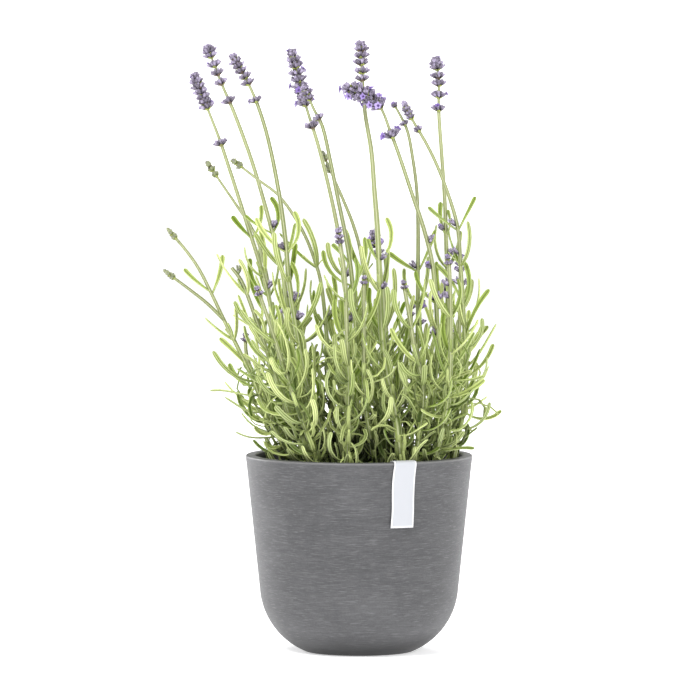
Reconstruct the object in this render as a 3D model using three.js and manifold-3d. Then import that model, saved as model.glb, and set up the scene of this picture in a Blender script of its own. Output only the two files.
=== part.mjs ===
// Potted lavender: one flowering lavender plant in potting soil, in a round-bottomed grey pot with a
// plain woven label folded over its rim. Millimetres, +Z up. The origin is the middle of the foot
// that the pot stands on, and the plant's front faces -Y.
//
// The plant grows as separate shoots, each rooted in a hole of its own in the soil. A shoot has
// pairs of narrow leaves up its lower part, each pair a quarter turn from the last, and then a bare
// square stalk with a head of flowers: rings of pointed calyces round a thin core.
import * as THREE from "three";
import { mergeVertices } from "three/addons/utils/BufferGeometryUtils.js";
import Module from "manifold-3d";

const wasm = await Module();
wasm.setup();

const deg = THREE.MathUtils.degToRad;
const { lerp, clamp } = THREE.MathUtils;
const { PI, abs, acos, asin, ceil, cos, floor, hypot, max, min, sin, tan } = Math;

// ---------------------------------------------------------------- driving dimensions
const GAP = 0.3; // between pieces that rest on each other
const POT = {
  width: 150, // across the rim
  height: 130,
  foot: 72, // across the flat that it stands on
  corner: 48, // radius of the round between wall and foot
  draft: deg(6), // lean of the wall
  wall: 6.8,
  floor: 7,
  edge: 1.4, // rounding of the lip's two edges
  sides: 36,
};
const SOIL = {
  below: 14, // its top under the rim
  depth: 13, // of a shoot's root in it
  relief: 1.3, // height of its lumps
  rings: [0.74, 0.44, 0], // where its top is divided, as shares of its radius
};
const LABEL = {
  width: 16,
  thick: 0.7,
  outside: 43, // how far it hangs down outside the pot
  inside: 10.5, // and inside
  angle: deg(23.5), // round from the front
  lift: 1.6, // of its free end from the pot
};
const STALK = { root: 1.9, top: 1.25, step: 36 }; // half diagonals, and the spacing of its sections
const LEAF = { length: 37, width: 3.7, thick: 0.95, clear: 0.5, tries: 9 };
const CALYX = {
  round: 5, // calyces in a ring
  reach: 5.2, // of their tips from the stalk, and how far they rise
  rise: 3.2,
  waist: 1.7, // radius between two calyces, and at the bare stalk of a head
  stalk: 0.85,
  below: 1.6, // where a ring starts and ends, along the stalk
  above: 1.8,
};

// ---------------------------------------------------------------- the plant, shoot by shoot
// way: points that the shoot passes, from just above the soil to its tip.
// leafy: where the first and last pairs of leaves grow, in mm from the soil; pairs: how many.
// posed: leaves that stand out from the rest. Each has its height from the soil, its angle round the
// shoot (0 is to the right and 180 to the left), its angles to the shoot at root and tip, and its length.
// rings: where each ring of calyces sits, in mm from the tip; scale: the size of its calyces.
// slim: how far the calyces of a closed bud spread. root and top: half diagonals of the stalk at its
// ends, where they aren't those of STALK.
const FLOWERING = [
  {
    way: [
      [-37, 19, 130], [-49, 24, 175], [-61, 27, 237], [-76, 31, 286], [-91, 37, 332], [-99, 40, 353],
      [-110, 43, 381],
    ],
    leafy: [14, 134], pairs: 5, rings: [1, 4, 7.5, 11.5, 15, 18.5, 22, 48], scale: 1,
    posed: [[161, 180, 29, 17, 20], [161, 10, 59, 9, 24], [121, 180, 49, -24, 30]],
  },
  {
    way: [
      [-29, -4, 130], [-40, -3, 177], [-50, 1, 247], [-59, 4, 283], [-70, 8, 321], [-82, 11, 354],
      [-91, 13, 375], [-101, 16, 401],
    ],
    leafy: [16, 140], pairs: 5, rings: [1.4, 3.5, 6.2, 12.7, 18.5, 25.3, 38.5], scale: 0.95,
    posed: [[164, 195, 54, 31, 22], [164, 15, 56, -29, 26]],
  },
  {
    way: [
      [-17, -28, 130], [-33, -33, 176], [-45, -34, 240], [-48, -33, 271], [-52, -30, 301],
      [-58, -26, 332], [-64, -23, 354], [-72, -20, 374], [-84, -17, 395],
    ],
    leafy: [14, 134], pairs: 5, rings: [1, 4, 7.5, 11, 15.5, 20, 32.5], scale: 0.88, root: 2.3,
    posed: [[155, 180, 58, 16, 31], [155, 0, 57, -27, 30], [118, 0, 35, -21, 32]],
  },
  {
    way: [
      [-5, 28, 130], [-8, 36, 204], [-9, 42, 240], [-13, 44, 270], [-19, 46, 300], [-27, 48, 332],
      [-36, 51, 361], [-45, 53, 396],
    ],
    leafy: [20, 130], pairs: 5, rings: [1, 4.5, 8.5, 13.5, 18, 22.5, 26.5, 30.5, 34.4, 50], scale: 1.08,
  },
  {
    way: [
      [-1, -9, 130], [-2, -6, 208], [-5, -5, 249], [-9, -2, 275], [-14, 1, 299], [-19, 3, 324],
      [-24, 5, 346], [-30, 6, 358], [-37, 6, 375],
    ],
    leafy: [18, 106], pairs: 5, rings: [1.5, 4.5, 8, 22.5], scale: 0.85,
    posed: [[126, 190, 74, -5, 33], [126, 10, 46, -6, 34], [139, 180, 24, 41, 19]],
  },
  {
    way: [
      [14, 46, 130], [9, 50, 203], [2, 50, 256], [-3, 50, 277], [-10, 51, 295], [-17, 53, 311],
      [-25, 54, 329],
    ],
    leafy: [22, 130], pairs: 4, rings: [1, 3.5, 9.5, 12], scale: 0.75, slim: 0.75, top: 1, pale: true,
  },
  {
    way: [
      [27, -49, 130], [24, -46, 160], [18, -43, 188], [15, -40, 212], [13, -40, 257], [12, -38, 280],
      [10, -34, 305], [8, -30, 331], [4, -25, 355], [2, -21, 378], [1, -16, 403],
    ],
    leafy: [22, 124], pairs: 5, rings: [0.8, 3, 7.4, 12, 17.7, 22.6], scale: 1, root: 2.9,
    posed: [[145, 0, 54, -30, 32], [145, 190, 38, 10, 17]],
  },
  {
    way: [
      [43, -25, 130], [51, -27, 196], [49, -27, 249], [43, -29, 278], [34, -32, 305], [26, -35, 329],
      [20, -37, 345], [14, -39, 360], [4, -41, 368], [-11, -42, 374],
    ],
    leafy: [16, 98], pairs: 5, rings: [1.5, 5.5, 9.5, 13.5, 17.5, 21.5, 25.5, 46.5], scale: 1.2,
    posed: [[116, 175, 56, 3, 26], [114, 5, 110, 140, 14], [44, 235, 130, 150, 21]],
  },
  {
    way: [
      [29, 20, 130], [38, 18, 192], [39, 16, 256], [39, 14, 283], [38, 12, 306], [35, 10, 328],
      [32, 9, 343], [27, 8, 354], [21, 6, 364],
    ],
    leafy: [24, 112], pairs: 4, rings: [1.8, 15.5], scale: 0.68, top: 1.05,
    posed: [[135, 180, 64, 50, 23], [135, 0, 30, 15, 30]],
  },
  {
    way: [
      [63, -11, 132], [70, -12, 168], [70, -12, 200], [67, -10, 252], [65, -8, 279], [60, -6, 298],
      [53, -3, 317], [45, 0, 334], [35, 3, 351], [29, 5, 363],
    ],
    leafy: [20, 140], pairs: 4, rings: [1, 3.8, 6.6, 9.4, 19], scale: 0.8, slim: 0.75, top: 1.05,
    posed: [
      [164, 180, 51, 38, 25], [164, 0, 37, 33, 25], [113, 10, 32, -21, 31], [113, 190, 12, 45, 34],
      [91, 0, 12, 43, 38], [67, 0, 61, 17, 29], [45, 0, 128, 32, 28],
    ],
  },
  {
    way: [
      [45, 29, 130], [56, 34, 172], [59, 36, 231], [58, 36, 267], [57, 37, 297], [55, 37, 326],
      [53, 38, 355], [53, 38, 374], [51, 39, 392],
    ],
    leafy: [20, 138], pairs: 5, rings: [0.8, 2.7, 5, 10.7, 15.7, 23.6, 32.3], scale: 1,
    posed: [[160, 190, 26, -11, 23], [160, 20, 14, 4, 25]],
  },
];
const BUDDING = [
  {
    way: [
      [-37, 43, 130], [-52, 50, 177], [-59, 53, 222], [-61, 54, 242], [-65, 55, 260], [-71, 57, 276],
      [-81, 58, 291], [-94, 59, 310], [-102, 60, 322],
    ],
    leafy: [20, 120], pairs: 4, rings: [1.2, 4.5, 8.8], scale: 0.75, slim: 0.75, top: 0.85, pale: true,
  },
  {
    way: [
      [-13, 14, 130], [-19, 13, 179], [-24, 9, 235], [-29, 7, 257], [-38, 3, 279], [-52, -1, 300],
      [-67, -5, 312], [-85, -8, 326],
    ],
    leafy: [22, 138], pairs: 4, rings: [2, 6], scale: 0.75, slim: 0.7, top: 0.85, pale: true,
    posed: [[198, 0, 31, 2, 13], [197, 180, 50, 29, 15]],
  },
  {
    way: [[-28, -45, 130], [-47, -54, 185], [-62, -60, 231], [-68, -63, 247]],
    leafy: [14, 98], pairs: 5, rings: [2, 5.5], scale: 0.6,
  },
  {
    way: [[-44, 12, 130], [-62, 12, 166], [-74, 10, 193], [-75, 8, 213]],
    leafy: [14, 72], pairs: 4, rings: [2, 5], scale: 0.6,
  },
  {
    way: [[-8, -51, 130], [-7, -54, 171], [-9, -56, 242], [-12, -58, 268], [-14, -60, 284]],
    leafy: [14, 118], pairs: 5, rings: [1.5, 5, 8.5], scale: 0.7,
  },
  {
    way: [[16, 3, 130], [19, 4, 180], [17, 6, 225], [15, 8, 245], [12, 9, 265], [8, 10, 279]],
    leafy: [21, 123], pairs: 5, rings: [1.5, 4.5, 7.5, 14], scale: 0.85,
  },
  {
    way: [[10, -38, 130], [4, -48, 171], [3, -55, 240], [4, -57, 254]],
    leafy: [14, 104], pairs: 5, rings: [2, 5], scale: 0.55,
  },
  {
    way: [[37, -37, 130], [42, -47, 171], [36, -54, 205], [28, -57, 251]],
    leafy: [12, 104], pairs: 5, rings: [2, 5], scale: 0.6,
  },
  {
    way: [[52, 8, 130], [61, 11, 166], [66, 13, 206], [67, 12, 248], [66, 12, 263]],
    leafy: [16, 109], pairs: 4, rings: [1.5, 5, 9], scale: 0.72,
    posed: [[79, 5, 42, 34, 30], [46, 0, 90, -10, 27]],
  },
  {
    way: [[50, -34, 130], [59, -46, 177], [59, -58, 248], [57, -60, 267]],
    leafy: [12, 112], pairs: 5, rings: [1.5, 5], scale: 0.6,
    posed: [[58, 0, 71, 40, 27]],
  },
  {
    way: [[21, 42, 130], [29, 56, 176], [35, 63, 208], [34, 65, 227]],
    leafy: [14, 86], pairs: 5, rings: [2, 5.5], scale: 0.6,
  },
];
// A leafy shoot with forked ends in two small buds: its own tip's, and that of a side branch.
const LEAFY = [
  {
    way: [
      [-45, -8, 130], [-59, -11, 153], [-71, -13, 183], [-89, -15, 220], [-96, -16, 235],
      [-105, -17, 253], [-114, -18, 266], [-126, -19, 280],
    ],
    leafy: [14, 104], pairs: 4, top: 0.95, forked: true,
    posed: [
      [140, 175, 33, 15, 23], [138, 5, 53, 30, 27], [85, 180, 12, 25, 26], [70, 180, 61, -6, 25],
      [60, 170, 83, -23, 23], [48, 180, 96, -25, 17], [38, 185, 98, -8, 16], [28, 180, 88, -5, 16],
    ],
  },
  { way: [[-35, -33, 130], [-52, -43, 177], [-74, -51, 241], [-83, -54, 256]], leafy: [14, 132], pairs: 6 },
  { way: [[-24, 50, 130], [-39, 64, 169], [-47, 74, 195], [-53, 81, 221]], leafy: [12, 102], pairs: 5 },
  { way: [[-6, 56, 130], [-9, 74, 168], [-11, 84, 200], [-13, 90, 227]], leafy: [12, 104], pairs: 5 },
  { way: [[38, 47, 130], [54, 64, 169], [62, 75, 194], [67, 82, 214]], leafy: [12, 92], pairs: 5 },
];
const FORK = {
  way: [[-89, -15, 220], [-100, -19, 231], [-111, -23, 240], [-128, -27, 253]],
  root: 1.3, // half diagonals of the side branch
  top: 0.9,
  rings: [1.5, 5], // of the buds on both ends
  scale: 0.75,
  slim: 0.55,
  budLength: 12,
};

const FINISH = {
  pot: [0x757578, 0.62],
  soil: [0x2e2620, 0.95],
  label: [0xe6e8ec, 0.6],
  leaf: [0xa3b56c, 0.7],
  flower: [0x7a6aa0, 0.75],
  bud: [0x9aa27e, 0.75],
};

// ---------------------------------------------------------------- random draws
// A repeatable stream of numbers from 0 to 1 for each seed.
function draws(seed) {
  let state = seed >>> 0;
  return () => {
    state = (state + 0x6d2b79f5) >>> 0;
    let t = Math.imul(state ^ (state >>> 15), 1 | state);
    t = ((t + Math.imul(t ^ (t >>> 7), 61 | t)) ^ t) >>> 0;
    return ((t ^ (t >>> 14)) >>> 0) / 4294967296;
  };
}

// ---------------------------------------------------------------- solids
// A closed geometry as a solid, with its shared vertices merged and its faces pointing out.
function solidOf(geometry) {
  const bare = geometry.clone();
  bare.deleteAttribute("normal");
  bare.deleteAttribute("uv");
  const merged = mergeVertices(bare, 1e-4);
  const faces = [];
  for (let i = 0; i < merged.index.count; i += 3) {
    const [a, b, c] = [0, 1, 2].map((k) => merged.index.getX(i + k));
    if (a !== b && b !== c && c !== a) faces.push(a, b, c);
  }
  const build = (corners) =>
    new wasm.Manifold(
      new wasm.Mesh({
        numProp: 3,
        vertProperties: new Float32Array(merged.attributes.position.array),
        triVerts: new Uint32Array(corners),
      }),
    );
  const solid = build(faces);
  return solid.volume() < 0 ? build(faces.reverse()) : solid;
}

// Several solids fused into one body. A loose scrap is dropped, and a sealed hollow is filled.
function fuse(solids) {
  const bodies = wasm.Manifold.union(solids).decompose();
  return bodies.reduce((best, body) => (body.volume() > best.volume() ? body : best));
}

// A closed skin over rings of points, all with the same count, from the root to a blunt end or,
// if there is a tip, to that point.
function skin(rings, tip) {
  const count = rings[0].length;
  const points = rings.flat();
  const faces = [];
  for (let ring = 1; ring < rings.length; ring++) {
    const [below, above] = [(ring - 1) * count, ring * count];
    for (let i = 0; i < count; i++) {
      const next = (i + 1) % count;
      faces.push(below + i, below + next, above + next, below + i, above + next, above + i);
    }
  }
  for (let i = 1; i + 1 < count; i++) faces.push(0, i + 1, i);
  const last = (rings.length - 1) * count;
  if (tip) {
    points.push(tip);
    for (let i = 0; i < count; i++) faces.push(last + i, last + ((i + 1) % count), points.length - 1);
  } else {
    for (let i = 1; i + 1 < count; i++) faces.push(last, last + i, last + i + 1);
  }
  return solidOf(new THREE.BufferGeometry().setFromPoints(points).setIndex(faces));
}

function meshOf(name, solid, [color, roughness]) {
  const { vertProperties, triVerts } = solid.getMesh();
  const geometry = new THREE.BufferGeometry()
    .setAttribute("position", new THREE.BufferAttribute(new Float32Array(vertProperties), 3))
    .setIndex(new THREE.BufferAttribute(new Uint32Array(triVerts), 1));
  geometry.computeVertexNormals();
  const material = new THREE.MeshStandardMaterial({ color, roughness, metalness: 0, flatShading: true });
  const mesh = new THREE.Mesh(geometry, material);
  mesh.name = name;
  return mesh;
}

// ---------------------------------------------------------------- pot
// The wall leans in to a round corner that ends on the foot. The corner's centre and the angle at
// which it meets the foot follow from the rim, the lean, the corner's radius and the foot's width.
const rim = POT.width / 2;
const foot = POT.foot / 2;
const wallLine = rim * cos(POT.draft) - POT.height * sin(POT.draft);
const footAngle = POT.draft + acos((foot * cos(POT.draft) - wallLine + POT.corner) / POT.corner);
const cornerR = foot - POT.corner * cos(footAngle);
const cornerZ = POT.corner * sin(footAngle);
const innerRim = rim - POT.wall;
const innerCorner = POT.corner - POT.wall * cos(POT.draft);

// Radius of the wall's straight part at a height, outside and inside.
const outerAt = (z) => rim - (POT.height - z) * tan(POT.draft);
const innerAt = (z) => innerRim - (POT.height - z) * tan(POT.draft);

// An outline of radius and height turned about the pot's axis.
const turned = (outline) => new THREE.LatheGeometry(outline.getPoints(2), POT.sides).rotateX(PI / 2);

function potSolid() {
  const { height, edge, draft, corner } = POT;
  const floorAngle = asin((cornerZ - POT.floor) / innerCorner);
  const outline = new THREE.Path();
  outline.moveTo(0, 0).lineTo(foot, 0);
  outline.absarc(cornerR, cornerZ, corner, -footAngle, -draft, false);
  outline.lineTo(outerAt(height - edge), height - edge);
  outline.quadraticCurveTo(rim, height, rim - edge, height);
  outline.lineTo(innerRim + edge, height);
  outline.quadraticCurveTo(innerRim, height, innerAt(height - edge), height - edge);
  outline.absarc(cornerR, cornerZ, innerCorner, -draft, -floorAngle, true);
  outline.lineTo(0, POT.floor);
  return solidOf(turned(outline));
}

// ---------------------------------------------------------------- soil
// It fills the pot to just under the rim. Its top is raised in low lumps by a formula.
const soilTop = POT.height - SOIL.below;

function lump(x, y) {
  return SOIL.relief * (sin(x * 0.21 + 1.3) * cos(y * 0.17) + 0.6 * sin(y * 0.33 - x * 0.12));
}

function soilSolid(holes) {
  const edge = innerAt(soilTop) - GAP;
  const corner = innerCorner - GAP;
  const bottom = POT.floor + GAP;
  const floorAngle = asin((cornerZ - bottom) / corner);
  const outline = new THREE.Path();
  outline.moveTo(0, bottom).lineTo(cornerR + corner * cos(floorAngle), bottom);
  outline.absarc(cornerR, cornerZ, corner, -floorAngle, -POT.draft, false);
  outline.lineTo(edge, soilTop);
  for (const share of SOIL.rings) outline.lineTo(edge * share, soilTop);
  const geometry = turned(outline);
  const at = geometry.attributes.position;
  for (let i = 0; i < at.count; i++) {
    const [x, y, z] = [at.getX(i), at.getY(i), at.getZ(i)];
    const onTop = z > soilTop - 0.01 && hypot(x, y) < edge - 1;
    if (onTop) at.setZ(i, z + lump(x, y));
  }
  return holes.reduce((soil, hole) => soil.subtract(hole), solidOf(geometry));
}

// ---------------------------------------------------------------- label
// A ribbon's side view: up the inner wall, over the lip, and down the outer wall to a free end that
// lifts a little. The solid is that line with half the ribbon's thickness on both sides.
function labelSolid() {
  const { thick, width, outside, inside, lift } = LABEL;
  const { height } = POT;
  const half = thick / 2;
  const edgeGap = 0.5; // more room inside, where the wall curves towards the flat ribbon's edges
  const top = height + GAP + half;
  const innerLine = (z) => innerAt(z) - GAP - edgeGap - half;
  const outerLine = (z) => outerAt(z) + GAP + half;
  const line = [
    [innerLine(height - inside), height - inside],
    [innerLine(height), height - 0.4],
    [innerRim + 0.2, top],
    [rim - 0.4, top],
    [outerLine(height) + 0.1, height - 1],
    [outerLine(height - 14), height - 14],
    [outerLine(height - 28) + lift * 0.2, height - 28],
    [outerLine(height - outside) + lift, height - outside],
  ].map(([x, z]) => new THREE.Vector2(x, z));
  const normal = (i) => {
    const along = line[i + 1].clone().sub(line[i]).normalize();
    return new THREE.Vector2(-along.y, along.x);
  };
  const side = (sign) =>
    line.map((point, i) => {
      const [n, m] = [normal(max(i - 1, 0)), normal(min(i, line.length - 2))];
      return n.clone().add(m).multiplyScalar((sign * half) / (1 + n.dot(m))).add(point);
    });
  const outline = new THREE.Shape([...side(1), ...side(-1).reverse()]);
  const strip = new THREE.ExtrudeGeometry(outline, { depth: width, bevelEnabled: false, steps: 1 });
  strip.translate(0, 0, -width / 2).rotateX(PI / 2).rotateZ(LABEL.angle - PI / 2);
  return solidOf(strip);
}

// ---------------------------------------------------------------- the line of a shoot
// A smooth line through a shoot's points, in short straight steps with their lengths added up.
const TRACK_STEPS = 60;

function trackOf(way) {
  const corners = way.map((p) => new THREE.Vector3(...p));
  const curve = new THREE.CatmullRomCurve3(corners, false, "catmullrom", 0.5);
  const points = Array.from({ length: TRACK_STEPS + 1 }, (_, i) => curve.getPoint(i / TRACK_STEPS));
  const lengths = [0];
  for (let i = 1; i < points.length; i++) lengths.push(lengths[i - 1] + points[i].distanceTo(points[i - 1]));
  return { points, lengths, length: lengths[TRACK_STEPS] };
}

// The root goes straight down into the soil from the first point of a shoot's way.
function rooted(way) {
  const [x, y, z] = way[0];
  const [x2, y2, z2] = way[1];
  const share = (soilTop - SOIL.depth - z) / (z2 - z);
  return [[x + (x2 - x) * share, y + (y2 - y) * share, soilTop - SOIL.depth], ...way];
}

// The point and the direction at a distance along a track.
function spotOn({ points, lengths }, distance) {
  let i = 1;
  while (i < TRACK_STEPS && lengths[i] < distance) i++;
  const share = (distance - lengths[i - 1]) / (lengths[i] - lengths[i - 1]);
  return {
    point: points[i - 1].clone().lerp(points[i], share),
    along: points[i].clone().sub(points[i - 1]).normalize(),
  };
}

// A direction square to a shoot's own, at an angle round it.
function outward(along, angle) {
  const right = new THREE.Vector3(along.z, 0, -along.x).normalize();
  const back = along.clone().cross(right);
  return right.multiplyScalar(cos(angle)).addScaledVector(back, sin(angle));
}

// A square stalk along a stretch of a track, with its half diagonal going from thick to thin.
function stalk(track, from, to, thick, thin) {
  const count = max(1, ceil((to - from) / STALK.step));
  const rings = Array.from({ length: count + 1 }, (_, i) => {
    const { point, along } = spotOn(track, lerp(from, to, i / count));
    const reach = lerp(thick, thin, i / count);
    return [0, 1, 2, 3].map((k) => point.clone().addScaledVector(outward(along, (k * PI) / 2), reach));
  });
  return skin(rings);
}

// ---------------------------------------------------------------- keeping the leaves apart
// Everything that is in place so far: short straight pieces with a radius, and the shoot they are on.
const placed = [];

function place(line, radius, owner, kind) {
  for (let i = 0; i + 1 < line.length; i++) {
    placed.push({ from: line[i], to: line[i + 1], radius, owner, kind, isRoot: i === 0 });
  }
}

// The least distance between the straight pieces a-b and c-d.
function distanceBetween(a, b, c, d) {
  const [u, v, w] = [b.clone().sub(a), d.clone().sub(c), a.clone().sub(c)];
  const [uu, vv, uv, uw, vw] = [u.dot(u), v.dot(v), u.dot(v), u.dot(w), v.dot(w)];
  const spread = uu * vv - uv * uv;
  let s = spread > 1e-9 ? clamp((uv * vw - vv * uw) / spread, 0, 1) : 0;
  let t = (uv * s + vw) / vv;
  if (t < 0 || t > 1) {
    t = clamp(t, 0, 1);
    s = clamp((uv * t - uw) / uu, 0, 1);
  }
  return w.addScaledVector(u, s).addScaledVector(v, -t).length();
}

// True for a point that is clear of the soil, the pot and the label.
function isClearOfPot({ x, y, z }) {
  const round = hypot(x, y);
  if (z < soilTop + 3) return false;
  if (z < POT.height + 3) return round < innerAt(z) - 3;
  const outOfFront = x * sin(LABEL.angle) - y * cos(LABEL.angle);
  const beside = abs(x * cos(LABEL.angle) + y * sin(LABEL.angle));
  const overLabel = outOfFront > innerRim - 5 && beside < LABEL.width / 2 + 3;
  return !(overLabel && z < POT.height + 6);
}

// True for a leaf's line that touches nothing in place but the stalk that it grows from.
function isClear(line, owner) {
  if (!line.slice(1).every(isClearOfPot)) return false;
  for (let i = 0; i + 1 < line.length; i++) {
    for (const other of placed) {
      const joined = other.owner === owner && (other.kind === "stalk" || other.isRoot || i === 0);
      const least = LEAF.width / 2 + other.radius + LEAF.clear;
      if (!joined && distanceBetween(line[i], line[i + 1], other.from, other.to) < least) return false;
    }
  }
  return true;
}

// ---------------------------------------------------------------- leaves
// A leaf's midrib leaves the stalk at one angle to it and sweeps round to another.
const MIDRIB_PARTS = 4;

function midrib({ point, along }, azimuth, length, start, end) {
  const out = outward(along, azimuth);
  const line = [point];
  for (let i = 0; i < MIDRIB_PARTS; i++) {
    const angle = lerp(start, end, (i + 0.5) / MIDRIB_PARTS);
    const step = along.clone().multiplyScalar(cos(angle)).addScaledVector(out, sin(angle));
    line.push(step.multiplyScalar(length / MIDRIB_PARTS).add(line[i]));
  }
  return { line, edge: along.clone().cross(out).normalize() };
}

// The first clear leaf of several tries on a seat. Each try has its own shape.
function leafOn(seat, owner, shapeOf) {
  for (let attempt = 0; attempt < LEAF.tries; attempt++) {
    const { azimuth, start, end, length, roll } = shapeOf(attempt);
    const leaf = midrib(seat, deg(azimuth), length, deg(start), deg(end));
    if (isClear(leaf.line, owner)) {
      place(leaf.line, LEAF.width / 2, owner, "leaf");
      return [{ ...leaf, roll: deg(roll) }];
    }
  }
  return [];
}

// The leaves that stand out, with a flat side to the front: as posed, or turned a little further at
// each try.
function posedLeaves({ track, posed, owner }) {
  return posed.flatMap(([height, around, start, end, length], i) => {
    const draw = draws(owner * 5009 + i * 17);
    return leafOn(spotOn(track, SOIL.depth + height), owner, (attempt) => ({
      azimuth: around + (draw() - 0.5) * 16 * attempt,
      start: start + (draw() - 0.5) * 10 * attempt,
      end: end + (draw() - 0.5) * 10 * attempt,
      length: length * (1 - 0.04 * attempt),
      roll: (cos(deg(around)) > 0 ? 75 : -75) + (draw() - 0.5) * 60,
    }));
  });
}

// The other leaves of a shoot, in opposite pairs that sit on the stalk's flats, each pair a quarter
// turn from the last. Low leaves are short and spread, with tips that curl up; high ones are upright.
// A leaf that would touch something is drawn again, a little shorter and turned further, and left
// out if no draw is clear.
function pairedLeaves({ track, leafy, pairs, owner }) {
  const leaves = [];
  for (let pair = 0; pair < pairs; pair++) {
    const height = pair / (pairs - 1);
    const seat = spotOn(track, SOIL.depth + lerp(leafy[0], leafy[1], height));
    const size = lerp(0.5, 1, sin(PI * (0.12 + 0.62 * height)));
    for (let side = 0; side < 2; side++) {
      const draw = draws(owner * 1009 + pair * 31 + side * 7);
      const leaf = leafOn(seat, owner, (attempt) => ({
        azimuth: 45 + pair * 90 + side * 180 + (draw() - 0.5) * (20 + 14 * attempt),
        start: lerp(92, 46, height) + (draw() - 0.5) * 30,
        end: lerp(-12, 2, height) + (draw() - 0.5) * 56,
        length: LEAF.length * size * (0.8 + 0.38 * draw()) * (1 - 0.05 * attempt),
        roll: (draw() - 0.5) * 150,
      }));
      leaves.push(...leaf);
    }
  }
  return leaves;
}

// A blade on its midrib: flat above and keeled below, widest past its middle, with a blunt tip.
// at: share of its length; width: share of its full width.
const BLADE = [
  { at: 0, width: 0.42 },
  { at: 0.3, width: 0.84 },
  { at: 0.72, width: 1 },
];

function blade({ line, edge, roll }) {
  const rings = BLADE.map(({ at, width }) => {
    const part = floor(at * MIDRIB_PARTS);
    const point = line[part].clone().lerp(line[part + 1], at * MIDRIB_PARTS - part);
    const along = line[part + 1].clone().sub(line[part]).normalize();
    const side = edge.clone().applyAxisAngle(along, roll * at);
    const under = side.clone().cross(along);
    const reach = (LEAF.width / 2) * width;
    return [
      point.clone().addScaledVector(side, reach),
      point.clone().addScaledVector(side, -reach),
      point.clone().addScaledVector(under, LEAF.thick),
    ];
  });
  return skin(rings, line[MIDRIB_PARTS].clone());
}

// ---------------------------------------------------------------- heads of flowers
// The head takes over from the stalk a little under its lowest ring of calyces.
const headLength = (rings) => max(...rings) + 4;

// Points round a head: every other one is a calyx's tip where the ring is a star.
function headRing(track, distance, turn, reachOf, riseOf) {
  const { point, along } = spotOn(track, distance);
  return Array.from({ length: 2 * CALYX.round }, (_, k) => {
    const out = outward(along, turn + (k * PI) / CALYX.round);
    return point.clone().addScaledVector(along, riseOf(k)).addScaledVector(out, reachOf(k));
  });
}

// A head is one skin: its thin stalk swells into each ring of calyces, whose tips stand out and up.
// The calyces of the topmost ring close over the tip.
function headSolid(track, { rings, scale, slim }, from, draw) {
  const level = () => 0;
  const bare = () => CALYX.stalk;
  const waist = () => CALYX.waist * 0.7 * scale * slim;
  const seats = [...rings].sort((a, b) => b - a).map((fromTip) => track.length - fromTip - 2);
  const sections = [headRing(track, from, 0, bare, level)];
  seats.forEach((seat, i) => {
    const turn = (i * PI) / CALYX.round;
    const closed = i === seats.length - 1 ? 0.6 : 1;
    const sizes = Array.from({ length: CALYX.round }, () => scale * (0.88 + 0.24 * draw()));
    const reachOf = (k) => (k % 2 ? CALYX.waist * scale * slim : CALYX.reach * closed * slim * sizes[k / 2]);
    const riseOf = (k) => (k % 2 ? 0.6 * scale : CALYX.rise * sizes[k / 2]);
    const isApart = i === 0 || seat - seats[i - 1] > 8;
    if (isApart) sections.push(headRing(track, seat - CALYX.below * scale, turn, bare, level));
    sections.push(headRing(track, seat, turn, reachOf, riseOf));
    const next = seats[i + 1] ?? track.length;
    const top = min(seat + CALYX.above * scale, lerp(seat, next, 0.6));
    sections.push(headRing(track, top, turn, waist, level));
  });
  return skin(sections);
}

// ---------------------------------------------------------------- the whole plant
const named = (list, stem, head) =>
  list.map((shoot, i) => ({ ...shoot, stem: `${stem}_${i + 1}`, head: head && `${head}_${i + 1}` }));

const shoots = [
  ...named(FLOWERING, "flower_stem", "flower_head"),
  ...named(BUDDING, "bud_stem", "bud_head"),
  ...named(LEAFY, "leafy_shoot"),
].map((shoot, owner) => {
  const track = trackOf(rooted(shoot.way));
  const stalkEnd = shoot.head ? track.length - headLength(shoot.rings) : track.length;
  return { root: STALK.root, top: STALK.top, slim: 1, posed: [], ...shoot, owner, track, stalkEnd };
});
const fork = trackOf(FORK.way);

// Stalks and heads are in place before any leaf grows.
for (const { track, owner, root, head, scale } of shoots) {
  const line = track.points.filter((_, i) => i % 2 === 0);
  place(line, root, owner, "stalk");
  const crown = track.points.filter((_, i) => track.lengths[i] > track.length - 34);
  if (head) place(crown, 6 * scale, owner, "head");
}
place(fork.points, FORK.root, shoots.findIndex((shoot) => shoot.forked), "stalk");

// Each shoot's leaves: those that stand out come first on every shoot, and the rest fit in round them.
for (const shoot of shoots) shoot.leaves = posedLeaves(shoot);
for (const shoot of shoots) shoot.leaves.push(...pairedLeaves(shoot));

function forkSolids(track) {
  const bud = (line) => headSolid(line, FORK, line.length - FORK.budLength, draws(5));
  return [stalk(fork, 0, fork.length, FORK.root, FORK.top), bud(track), bud(fork)];
}

function stemSolid(shoot) {
  const { track, stalkEnd, root, top, forked, leaves } = shoot;
  const extras = forked ? forkSolids(track) : [];
  return fuse([stalk(track, 0, stalkEnd, root, top), ...extras, ...leaves.map(blade)]);
}

function holeSolid({ track, root }) {
  return stalk(track, -GAP, 2 * SOIL.depth, root + GAP, root + GAP);
}

const plant = new THREE.Group();
plant.add(meshOf("pot", potSolid(), FINISH.pot));
plant.add(meshOf("soil", soilSolid(shoots.map(holeSolid)), FINISH.soil));
plant.add(meshOf("label", labelSolid(), FINISH.label));
for (const shoot of shoots) {
  plant.add(meshOf(shoot.stem, stemSolid(shoot), FINISH.leaf));
  if (shoot.head) {
    const solid = headSolid(shoot.track, shoot, shoot.stalkEnd + GAP, draws(shoot.owner * 4001 + 17));
    plant.add(meshOf(shoot.head, solid, shoot.pale ? FINISH.bud : FINISH.flower));
  }
}

export default plant;
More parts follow.
